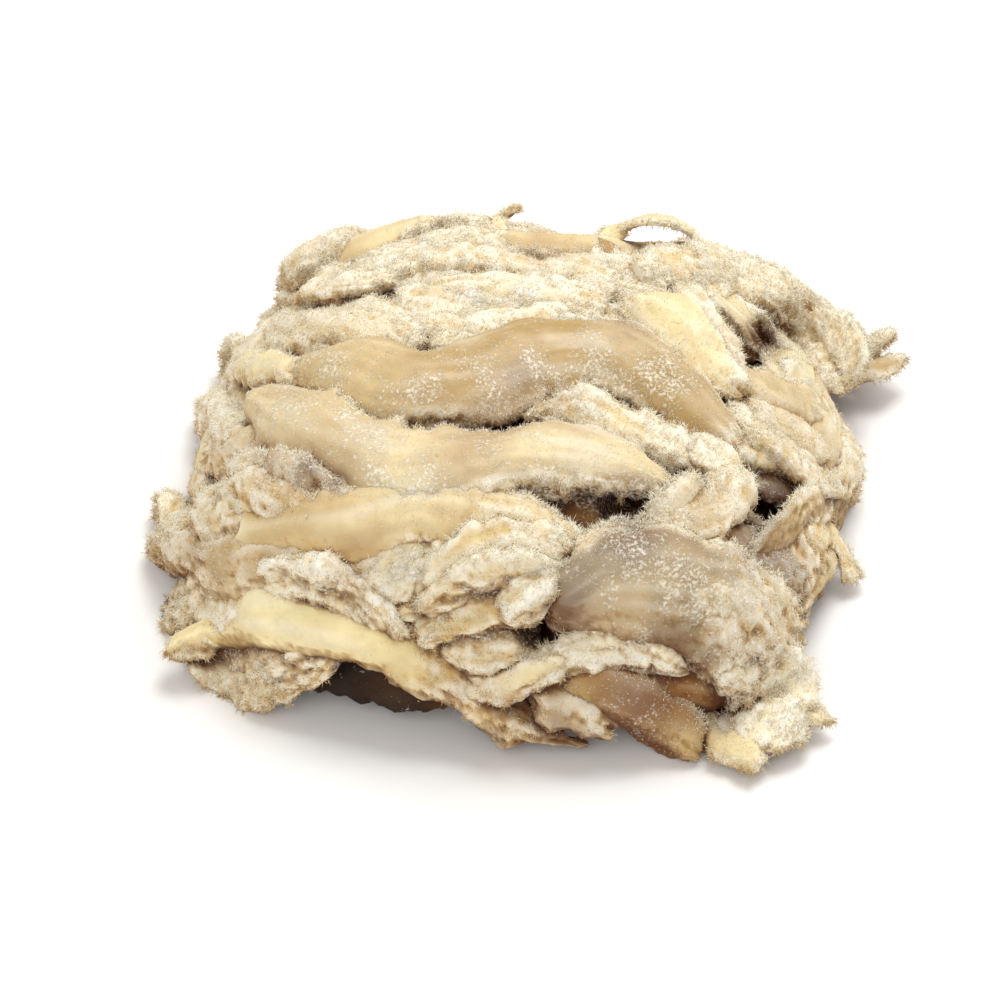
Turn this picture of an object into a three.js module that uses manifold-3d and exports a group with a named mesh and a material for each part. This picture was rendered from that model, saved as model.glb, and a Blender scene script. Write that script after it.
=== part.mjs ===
// Shredded salted pollock: a loose heap of torn, dried fish strips, as it lies.
// Millimetres, +Z up. The origin is on the surface that the heap lies on, under the middle of its box.
import * as THREE from "three";
import { mergeVertices } from "three/addons/utils/BufferGeometryUtils.js";
import Module from "manifold-3d";

const wasm = await Module();
wasm.setup();

// The heap's bare mound: a flat-topped dome on a rounded oblong that is turned a little.
const MOUND = {
  middle: new THREE.Vector2(-7.2, 4.2),
  halfLength: 97,
  halfDepth: 94,
  height: 66,
  turn: THREE.MathUtils.degToRad(-10),
  corner: 2.8,
  flatness: 4.2,
  roundness: 0.75,
};
// The smaller core that the strips are fused to lies this far inside the mound.
const CORE_INSET = 8;
const CORE_SPOKES = 32;
const CORE_RINGS = 7;

// The view that the strips are laid out in, from in front and above. Its aim is counted from the mound's middle.
const VIEW = { elevation: THREE.MathUtils.degToRad(43), distance: 1000, aim: new THREE.Vector3(-5, -16, 25) };
// Sight lines are followed down from this far above the mound, and no further back than this.
const HIGHEST_LIFT = 30;
const FURTHEST_BACK = 70;
const MARCH_STEP = 0.25;

// How a strip is faceted: slim ones have fewer sides, and long ones more rings.
const STRIP_SIDES = 8;
const SLIM_SIDES = 6;
const SLIM_WIDTH = 13;
const RING_SPACING = 15;
const FEWEST_RINGS = 3;
const MOST_RINGS = 9;
// Its pointed ends stand out by this share of half the thickness, and its edges waver by a share of the width.
const BLUNT_END = 0.6;
const EDGE_WAVER = 0.12;
const SEED = 20;
// A strip lies against the mound's slope, measured over this reach and followed up to the steepest lean.
const SLOPE_REACH = 8;
const STEEPEST_LEAN = 1.3;
// Points closer than this are one, and slivers thinner than this are taken out of the joined heap.
const WELD = 1e-4;
const SLIVER = 0.25;

// Each strip's width and thickness, the roll of its flat side in degrees and how much of its width is left at
// its two ends. Then the points of its middle line as [right, up, lift]: right and up as seen in the view, and
// lift above the mound.
const STRIPS = [
  // The broad strips across the top.
  strip("broad_amber", 32, 14, 18, [0.45, 0.5],
    [-59, 38, 1], [-45, 38, 2], [-27, 34, 3], [-9, 35, 3], [12, 41, 2], [30, 42, 2], [47, 34, 3], [67, 19, 2]),
  strip("long_tongue", 25, 12, 22, [0.6, 0.25],
    [-71, 30, 2], [-51, 22, 3], [-30, 14, 4], [-6, 12, 4], [18, 13, 4], [37, 11, 5], [49, 5, 5]),
  strip("smooth_plank", 19, 10, 10, [0.6, 0.6],
    [-74, -11, 1], [-60, -10, 3], [-42, -8, 4], [-24, -4, 4], [-6, -6, 3], [11, -10, 2], [21, -14, 0]),
  strip("short_fluff", 14, 10, 20, [0.5, 0.8], [22, 27, 0], [39, 22, 1], [56, 13, 1]),
  strip("cream_over_amber", 15, 9, 10, [0.5, 0.5], [-28, 52, -1], [-8, 50, 0], [14, 53, 0], [36, 52, -1]),
  // The back of the top.
  strip("back_broad", 28, 12, 6, [0.5, 0.5], [-40, 64, 0], [-21, 71, 1], [3, 71, 2], [27, 67, 1], [45, 61, 0]),
  strip("back_middle", 18, 9, 8, [0.4, 0.4], [-30, 60, 1], [-12, 60, 2], [12, 58, 2], [35, 56, 1]),
  strip("back_rear", 18, 10, 0, [0.5, 0.5], [-26, 81, 0], [-5, 81, 1], [14, 76, 1], [34, 72, 0]),
  strip("back_amber", 12, 8, 20, [0.4, 0.4], [-50, 70, 3], [-40, 76, 3], [-30, 80, 3], [-18, 82, 2]),
  strip("yellow_back", 8, 5, 25, [0.5, 0.5], [-1, 79, 4], [12, 76, 4], [27, 75, 4], [42, 74, 4], [58, 75, 3]),
  strip("back_loop", 6, 4, 50, [0.7, 0.7], [28, 74, 4], [36, 81, 9], [45, 84, 11], [54, 82, 9], [63, 74, 2]),
  strip("top_spike", 4, 3, 0, [0.8, 0.4], [-1, 79, 3], [1, 85, 6], [5, 88, 7]),
  strip("back_left_lump", 20, 14, 0, [0.6, 0.6], [-63, 64, 0], [-54, 71, 1], [-43, 77, 1]),
  strip("back_left_inner", 15, 9, 0, [0.6, 0.6], [-55, 61, -2], [-41, 61, -2], [-30, 62, -3]),
  strip("left_cream", 17, 10, 5, [0.5, 0.5], [-66, 54, -1], [-48, 56, 0], [-30, 54, 0], [-14, 48, -1]),
  strip("left_nub", 13, 9, 0, [0.5, 0.5], [-73, 47, 0], [-60, 49, 0], [-48, 46, 0]),
  // The right side, from the back to the front.
  strip("back_ridge", 22, 11, 0, [0.5, 0.4],
    [45, 66, 1], [60, 69, 2], [75, 66, 3], [89, 57, 4], [99, 47, 7], [111, 43, 10]),
  strip("ridge_flap", 21, 10, 0, [0.6, 0.7], [87, 53, 6], [93, 42, 7], [99, 31, 8]),
  strip("right_tip", 10, 6, 0, [0.8, 0.4], [98, 37, 9], [111, 39, 11], [121, 42, 12]),
  strip("right_fork", 6, 4, 0, [0.8, 0.5], [108, 45, 11], [114, 48, 14], [118, 50, 16]),
  strip("amber_inside", 17, 10, 0, [0.6, 0.6], [50, 60, 0], [62, 59, 1], [72, 53, 0]),
  strip("right_diagonal", 21, 10, 10, [0.25, 0.6], [38, 61, 3], [50, 52, 4], [60, 43, 4], [71, 33, 3]),
  strip("right_shelf", 18, 10, 5, [0.5, 0.7], [61, 50, 0], [78, 41, 2], [90, 33, 3], [102, 26, 4]),
  strip("right_band", 23, 10, 0, [0.6, 0.4], [70, 30, 0], [84, 23, 2], [95, 14, 4], [101, 5, 5]),
  strip("right_lip", 14, 8, 0, [0.6, 0.5], [66, 19, 0], [81, 14, 2], [97, 8, 4]),
  strip("knot_top", 17, 10, 0, [0.6, 0.7], [58, 13, 0], [68, 10, 1], [76, 2, 1]),
  strip("knot", 20, 12, 5, [0.6, 0.6], [77, 6, 1], [68, -3, 2], [51, -8, 2], [33, -12, 1], [22, -18, 0]),
  strip("white_shard", 8, 5, 15, [0.4, 0.6], [41, -2, 3], [50, 2, 4], [58, 8, 4]),
  strip("under_tongue", 15, 9, 0, [0.6, 0.6], [8, 1, -4], [26, -4, -3], [42, -7, -3]),
  strip("purple_side", 23, 11, 0, [0.6, 0.6], [56, -16, -2], [73, -18, 0], [90, -25, 1]),
  strip("amber_flap", 14, 7, -15, [0.8, 0.6], [75, -14, 4], [87, -8, 6], [99, 0, 6]),
  strip("amber_under_flap", 17, 9, 0, [0.7, 0.6], [86, -8, 3], [91, -17, 5], [96, -24, 5]),
  strip("right_curl", 7, 4, 0, [0.8, 0.7], [90, -12, 8], [99, -11, 10], [103, -17, 8], [106, -24, 4]),
  strip("side_foot", 15, 10, 0, [0.7, 0.6], [80, -29, 3], [87, -34, 4], [93, -38, 4]),
  // The front, from the right to the left.
  strip("dome", 36, 18, 15, [0.6, 0.5], [18, -32, 0], [33, -27, 1], [51, -28, 2], [69, -37, 1], [82, -51, 0]),
  strip("front_fluff", 29, 16, 0, [0.7, 0.7], [70, -42, 0], [81, -55, 1], [82, -71, 2]),
  strip("right_low_tip", 8, 6, 0, [0.8, 0.3], [80, -57, 4], [89, -62, 4], [98, -66, 3]),
  strip("front_nub", 11, 8, 0, [0.8, 0.6], [61, -66, 4], [70, -73, 5], [77, -79, 5]),
  strip("brown_twist", 20, 12, 30, [0.5, 0.75], [20, -52, 1], [35, -56, 2], [48, -65, 3], [57, -72, 4]),
  strip("front_over", 11, 8, 10, [0.6, 0.4], [13, -50, 4], [30, -46, 5], [47, -47, 4]),
  strip("grey_low", 18, 11, 0, [0.6, 0.6], [12, -58, 2], [26, -64, 4], [38, -70, 5]),
  strip("twisted_branch", 10, 7, 30, [0.6, 0.5], [-10, -60, 5], [5, -55, 6], [20, -49, 5]),
  strip("front_rope", 16, 10, 12, [0.4, 0.3],
    [-98, -43, 6], [-83, -35, 6], [-65, -37, 6], [-47, -41, 6],
    [-30, -48, 5], [-15, -57, 4], [0, -65, 3], [25, -75, 3]),
  strip("under_rope_left", 21, 15, 0, [0.5, 0.4], [-95, -48, 5], [-78, -53, 6], [-60, -53, 6], [-46, -48, 4]),
  strip("under_rope_floor", 10, 6, 0, [0.6, 0.6], [-50, -59, 3], [-34, -59, 2], [-16, -58, 0]),
  strip("under_middle", 20, 12, 0, [0.6, 0.6], [-20, -44, -1], [-3, -48, 0], [14, -44, -1]),
  strip("crumbly_flake", 18, 9, 5, [0.7, 0.6], [-42, -22, 2], [-30, -17, 3], [-13, -15, 2]),
  strip("crumbly_lump", 17, 10, 0, [0.6, 0.6], [-34, -34, 1], [-29, -24, 2], [-25, -16, 2]),
  strip("cream_dome", 26, 14, 10, [0.4, 0.6], [-27, -38, 0], [-12, -27, 2], [6, -21, 3], [15, -20, 2]),
  strip("white_puff", 16, 10, 0, [0.6, 0.6], [2, -34, 2], [9, -28, 3], [17, -23, 2]),
  // The left side, from the front to the back.
  strip("white_curl", 13, 9, 10, [0.6, 0.4],
    [-71, -29, 3], [-60, -24, 5], [-50, -26, 5], [-39, -33, 4], [-28, -42, 3]),
  strip("low_left_row", 17, 12, 0, [0.6, 0.5], [-102, -37, 4], [-97, -29, 5], [-82, -30, 4], [-62, -32, 2]),
  strip("amber_left", 20, 13, 10, [0.5, 0.6],
    [-101, -14, 4], [-90, -16, 3], [-78, -22, 2], [-63, -19, 1], [-45, -19, 0]),
  strip("left_flap", 12, 7, 0, [0.5, 0.6], [-101, 0, 7], [-96, -7, 6], [-91, -14, 6]),
  strip("left_fluff_low", 17, 10, 0, [0.5, 0.5], [-93, -8, 3], [-78, -3, 2], [-58, -4, 0]),
  strip("left_fluff", 23, 14, 15, [0.7, 0.4], [-82, 5, 2], [-66, 5, 2], [-51, 4, 1], [-34, 2, 0]),
  strip("left_column", 12, 9, 0, [0.6, 0.5], [-88, 2, 4], [-88, 9, 4], [-86, 17, 3]),
  strip("left_bits", 18, 11, 0, [0.6, 0.6], [-86, 9, 3], [-78, 14, 2], [-66, 17, 0]),
  strip("upper_left_fluff", 19, 12, 0, [0.5, 0.5], [-79, 46, 1], [-77, 37, 2], [-81, 28, 3], [-79, 18, 3]),
  strip("upper_left_yellow", 13, 8, 0, [0.6, 0.4], [-77, 43, 3], [-68, 38, 3], [-56, 40, 1]),
];

// Strips that cover the back, in courses round the mound: how far out from its middle, the lowest that a
// strip's middle line lies, how many strips, and the bearing in degrees of the first and the last.
const BACK_COURSES = [
  { share: 0.94, lowest: 7, count: 8, from: 0, to: 174 },
  { share: 0.87, lowest: 9, count: 6, from: 30, to: 150 },
  { share: 0.76, lowest: 11, count: 5, from: 52, to: 140 },
];
// A back strip's size, and how far its line slants and bows as a share of the way out. It lies at points at these
// steps from its middle to its ends, sunk to this share of the mound's height, and no two slant and bow alike.
const BACK_STRIP = { length: 66, width: 21, thick: 13, roll: 0, ends: [0.5, 0.5], slant: 0.05, bow: 0.04 };
const BACK_STEPS = [-1, -0.33, 0.33, 1];
const BACK_SUNK = 0.9;
const BACK_VARIETY = 2.4;

// Hollows left between the strips: the middle as [right, up, lift], and the radius.
const HOLLOWS = [
  { middle: [79, 47, -4], radius: 9 },
  { middle: [38, -1, -6], radius: 9 },
  { middle: [-34, -56, 1], radius: 13 },
  { middle: [-18, -60, 1], radius: 13 },
  { middle: [11, -38, -5], radius: 8 },
  { middle: [80, 4, -5], radius: 8 },
];
const HOLLOW_SEGMENTS = [10, 7];

const FLESH = new THREE.MeshStandardMaterial({ color: 0xe6d2a4, roughness: 0.8, metalness: 0 });
FLESH.name = "dried_fish";

function strip(name, width, thick, roll, ends, ...line) {
  return { name, width, thick, roll: THREE.MathUtils.degToRad(roll), ends, line };
}

// A repeatable random number from -1 to 1, by the minimal standard generator.
const RANDOM_STEP = 16807;
const RANDOM_RANGE = 2147483647;
let randomState = SEED;
function randomSigned() {
  randomState = (randomState * RANDOM_STEP) % RANDOM_RANGE;
  return (2 * randomState) / RANDOM_RANGE - 1;
}

// A superellipse's reach in a direction, as a share of the plain ellipse's.
function cornerReach(cosine, sine) {
  return (Math.abs(cosine) ** MOUND.corner + Math.abs(sine) ** MOUND.corner) ** (-1 / MOUND.corner);
}

// The ground point at a share of the way out from the mound's middle, on a bearing from its long axis.
function moundPoint(bearing, share, inset = 0) {
  const reach = share * cornerReach(Math.cos(bearing), Math.sin(bearing));
  const along = reach * Math.cos(bearing) * (MOUND.halfLength - inset);
  const across = reach * Math.sin(bearing) * (MOUND.halfDepth - inset);
  return new THREE.Vector2(along, across).rotateAround(new THREE.Vector2(), MOUND.turn).add(MOUND.middle);
}

// The mound's height over a point of the ground, less an inset on all sides.
function moundHeight(x, y, inset = 0) {
  const place = new THREE.Vector2(x, y).rotateAround(MOUND.middle, -MOUND.turn).sub(MOUND.middle);
  const along = place.x / (MOUND.halfLength - inset);
  const across = place.y / (MOUND.halfDepth - inset);
  const share = (Math.abs(along) ** MOUND.corner + Math.abs(across) ** MOUND.corner) ** (1 / MOUND.corner);
  return (MOUND.height - inset) * Math.max(0, 1 - share ** MOUND.flatness) ** MOUND.roundness;
}

// Which way is out of the mound at a point, leaning no further than the steepest lean.
function moundNormal(x, y) {
  const run = 2 * SLOPE_REACH;
  const slopeX = (moundHeight(x + SLOPE_REACH, y) - moundHeight(x - SLOPE_REACH, y)) / run;
  const slopeY = (moundHeight(x, y + SLOPE_REACH) - moundHeight(x, y - SLOPE_REACH)) / run;
  const slope = Math.hypot(slopeX, slopeY);
  const share = slope > STEEPEST_LEAN ? STEEPEST_LEAN / slope : 1;
  return new THREE.Vector3(-slopeX * share, -slopeY * share, 1).normalize();
}

// Where a sight line of the view, at this much right and up, is at a given height.
function sighted(right, up, z) {
  const sine = Math.sin(VIEW.elevation);
  const cosine = Math.cos(VIEW.elevation);
  const rise = z - VIEW.aim.z;
  const shrink = up / VIEW.distance;
  const back = (up - rise * cosine - shrink * rise * sine) / (sine - shrink * cosine);
  const depth = VIEW.distance + back * cosine - rise * sine;
  const x = (right * depth) / VIEW.distance;
  return new THREE.Vector3(x + VIEW.aim.x + MOUND.middle.x, back + VIEW.aim.y + MOUND.middle.y, z);
}

// The first point of a sight line that is no more than lift above the mound, or as far back as is allowed,
// coming down from above it.
function seen([right, up, lift]) {
  for (let z = MOUND.height + HIGHEST_LIFT; z > 0; z -= MARCH_STEP) {
    const point = sighted(right, up, z);
    if (z <= moundHeight(point.x, point.y) + lift) return point;
    if (point.y > MOUND.middle.y + FURTHEST_BACK) return point;
  }
  return sighted(right, up, Math.max(lift, 0));
}

// A closed solid from a geometry's positions and triangles.
function solidFrom(geometry) {
  const bare = geometry.clone();
  bare.deleteAttribute("normal");
  bare.deleteAttribute("uv");
  const merged = mergeVertices(bare, WELD);
  const vertProperties = merged.attributes.position.array;
  const triVerts = new Uint32Array(merged.index.array);
  return new wasm.Manifold(new wasm.Mesh({ numProp: 3, vertProperties, triVerts }));
}

// A closed geometry from rings of points, each ring with the same number, and a tip beyond each end.
function ringGeometry(rings, firstTip, lastTip) {
  const sides = rings[0].length;
  const points = [...rings.flat(), firstTip, lastTip];
  const first = points.length - 2;
  const faces = [];
  for (let j = 0; j < sides; j++) {
    const next = (j + 1) % sides;
    faces.push(first, next, j);
    for (let i = 0; i + 1 < rings.length; i++) {
      const here = i * sides;
      const there = here + sides;
      faces.push(here + j, here + next, there + next, here + j, there + next, there + j);
    }
    const end = (rings.length - 1) * sides;
    faces.push(first + 1, end + j, end + next);
  }
  const geometry = new THREE.BufferGeometry().setFromPoints(points);
  geometry.setIndex(faces);
  return geometry;
}

// The share of the full width at a place along a strip: full in the middle, and falling to each end's share.
function widthShare(place, [first, last]) {
  const fromMiddle = 2 * place - 1;
  const end = fromMiddle < 0 ? first : last;
  return 1 - (1 - end) * Math.abs(fromMiddle) ** 3;
}

// One torn strip: a flattened section carried along a smooth line, with wavering edges.
function stripSolid({ width, thick, roll, ends }, points) {
  const curve = new THREE.CatmullRomCurve3(points);
  const steps = THREE.MathUtils.clamp(Math.round(curve.getLength() / RING_SPACING), FEWEST_RINGS, MOST_RINGS);
  const sides = width < SLIM_WIDTH ? SLIM_SIDES : STRIP_SIDES;
  const rings = [];
  for (let i = 0; i <= steps; i++) {
    const place = i / steps;
    const middle = curve.getPointAt(place);
    const along = curve.getTangentAt(place);
    const across = new THREE.Vector3().crossVectors(moundNormal(middle.x, middle.y), along).normalize();
    across.applyAxisAngle(along, roll);
    const out = new THREE.Vector3().crossVectors(along, across);
    const share = widthShare(place, ends);
    const ring = [];
    for (let j = 0; j < sides; j++) {
      const angle = (2 * Math.PI * (j + 0.5)) / sides;
      const waver = 1 + EDGE_WAVER * randomSigned();
      const point = middle.clone();
      point.addScaledVector(across, (width / 2) * share * waver * Math.cos(angle));
      point.addScaledVector(out, (thick / 2) * Math.sqrt(share) * waver * Math.sin(angle));
      ring.push(point);
    }
    rings.push(ring);
  }
  const bluntness = (thick / 2) * BLUNT_END;
  const firstTip = curve.getPointAt(0).addScaledVector(curve.getTangentAt(0), -bluntness);
  const lastTip = curve.getPointAt(1).addScaledVector(curve.getTangentAt(1), bluntness);
  return solidFrom(ringGeometry(rings, firstTip, lastTip));
}

// The core: rings of the inset mound from its foot to its top, closed by a flat base.
function coreSolid() {
  const rings = [];
  for (let i = 0; i <= CORE_RINGS; i++) {
    const share = Math.cos((Math.PI / 2) * (i / (CORE_RINGS + 1)));
    const ring = [];
    for (let j = 0; j < CORE_SPOKES; j++) {
      const { x, y } = moundPoint((2 * Math.PI * j) / CORE_SPOKES, share, CORE_INSET);
      ring.push(new THREE.Vector3(x, y, moundHeight(x, y, CORE_INSET)));
    }
    rings.push(ring);
  }
  const { x, y } = MOUND.middle;
  const foot = new THREE.Vector3(x, y, 0);
  const top = new THREE.Vector3(x, y, MOUND.height - CORE_INSET);
  return solidFrom(ringGeometry(rings, foot, top));
}

// The middle line of a strip that lies round the back of the mound. The index varies its slant and bow.
function backLine(course, index) {
  const bearing = THREE.MathUtils.degToRad(
    THREE.MathUtils.lerp(course.from, course.to, index / (course.count - 1)));
  const slant = BACK_STRIP.slant * Math.sin(BACK_VARIETY * index + course.lowest);
  const bow = BACK_STRIP.bow * Math.cos(BACK_VARIETY * index + course.lowest);
  return BACK_STEPS.map((step) => {
    const turned = bearing + (step * BACK_STRIP.length) / (2 * MOUND.halfLength);
    const { x, y } = moundPoint(turned, course.share + slant * step - bow * step ** 2);
    return new THREE.Vector3(x, y, Math.max(BACK_SUNK * moundHeight(x, y), course.lowest));
  });
}

function heapSolid() {
  let heap = coreSolid();
  for (const hollow of HOLLOWS) {
    const ball = new THREE.SphereGeometry(hollow.radius, ...HOLLOW_SEGMENTS);
    ball.translate(...seen(hollow.middle).toArray());
    heap = heap.subtract(solidFrom(ball));
  }
  for (const row of STRIPS) heap = heap.add(stripSolid(row, row.line.map(seen)));
  for (const course of BACK_COURSES) {
    for (let index = 0; index < course.count; index++) {
      heap = heap.add(stripSolid(BACK_STRIP, backLine(course, index)));
    }
  }
  const reach = 4 * MOUND.halfLength;
  const ground = new THREE.BoxGeometry(reach, reach, reach);
  ground.translate(0, 0, -reach / 2);
  heap = heap.subtract(solidFrom(ground));
  // The largest body, by its outer skin alone: sealed hollows are filled and loose scraps dropped.
  const bodies = heap.asOriginal().simplify(SLIVER).decompose();
  return bodies.reduce((a, b) => (b.volume() > a.volume() ? b : a));
}

function meshFrom(solid, name, material) {
  const made = solid.getMesh();
  const geometry = new THREE.BufferGeometry();
  geometry.setAttribute("position", new THREE.BufferAttribute(made.vertProperties, made.numProp));
  geometry.setIndex(new THREE.BufferAttribute(made.triVerts, 1));
  geometry.computeVertexNormals();
  const mesh = new THREE.Mesh(geometry, material);
  mesh.name = name;
  return mesh;
}

const part = new THREE.Group();
part.name = "shredded_pollock";
part.add(meshFrom(heapSolid(), "pollock_heap", FLESH));

export default part;
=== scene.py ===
"""Shredded salted pollock: a loose heap of torn, dried fish strips with frayed edges, dusted with salt.

Lengths are millimetres in the tables and in the working arrays, and metres in the finished meshes.
"""

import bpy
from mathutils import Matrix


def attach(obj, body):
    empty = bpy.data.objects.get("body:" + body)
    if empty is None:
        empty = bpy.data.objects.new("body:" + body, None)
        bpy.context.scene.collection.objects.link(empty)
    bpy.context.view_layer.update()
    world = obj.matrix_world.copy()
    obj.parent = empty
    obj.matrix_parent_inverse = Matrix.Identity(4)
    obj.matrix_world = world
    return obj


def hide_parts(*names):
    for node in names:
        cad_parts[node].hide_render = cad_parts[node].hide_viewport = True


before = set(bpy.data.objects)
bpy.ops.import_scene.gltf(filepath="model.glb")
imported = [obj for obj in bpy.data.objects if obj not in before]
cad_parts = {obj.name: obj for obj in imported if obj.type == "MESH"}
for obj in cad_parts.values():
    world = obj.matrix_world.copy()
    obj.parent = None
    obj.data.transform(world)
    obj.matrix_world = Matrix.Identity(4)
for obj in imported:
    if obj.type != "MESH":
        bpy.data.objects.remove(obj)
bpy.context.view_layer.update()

import math
from types import SimpleNamespace

import bpy
import numpy as np
from mathutils import Vector

bl_info = {
    "name": "Shredded salted pollock",
    "version": (1, 0, 0),
    "blender": (4, 5, 0),
    "location": "View3D > Sidebar > Pollock",
    "description": "A loose heap of torn, dried pollock strips with frayed, salted edges",
    "category": "Mesh",
}

MM = 0.001
NODE = "pollock_heap"
BODY = "root"

# The bare mound that the strips lie on: a flat-topped dome on a rounded oblong that is turned a little.
MOUND = SimpleNamespace(
    middle=np.array([-7.2, 4.2]), half_length=97.0, half_depth=94.0, height=66.0,
    turn=math.radians(-10), corner=2.8, flatness=4.2, roundness=0.75)
# How far to each side the mound's slope is measured, the steepest that counts and the least divided by.
SLOPE_REACH = 8.0
STEEPEST_LEAN = 1.3
SMALLEST_SLOPE = 1e-9
# The view that the strips are laid out in, which is the camera's, with its aim from the mound's middle.
VIEW = SimpleNamespace(elevation=math.radians(43), distance=1000.0, aim=np.array([-5.0, -16.0, 25.0]))
LENS = 120.0
SENSOR = 36.0
# How far above the mound and behind its middle a sight line is followed, and by what steps down.
HIGHEST_LIFT = 30.0
FURTHEST_BACK = 70.0
MARCH_STEP = 0.25

# Hollows that run in under the strips: the middle as (right, up, lift), and the radius.
HOLLOWS = [
    ((79, 47, -4), 10), ((38, -1, -6), 10), ((-34, -56, 1), 13), ((-18, -60, 1), 13), ((11, -38, -5), 8),
    ((81, 2, -5), 8), ((-19, 24, -2), 4), ((-8, 22.5, -2), 4), ((5, 23, -2), 4), ((-54, 9, -3), 5),
    ((-46, 6, -3), 5), ((67, -66, -2), 5), ((-76, 11, -2), 5),
]
# How deep a hollow is and how far along the view it reaches, in radii. It fades over the last stretch.
HOLLOW_DEPTH = 1.7
HOLLOW_REACH = 3
HOLLOW_FADE = 2
# The strips that the hollows dent.
HOLLOWED = {
    "right_shelf", "right_band", "right_lip", "under_tongue", "knot_top", "purple_side",
    "under_middle", "grey_low", "brown_twist", "under_dome",
}


def strip(name, tone, fluff, width, thick, roll, ends, *line):
    """One row of the table of strips, with its roll in radians and its middle line as an array."""
    return SimpleNamespace(
        name=name, tone=tone, fluff=fluff, width=width, thick=thick, roll=math.radians(roll), ends=ends,
        line=np.array(line, float), hollowed=name in HOLLOWED)


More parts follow.
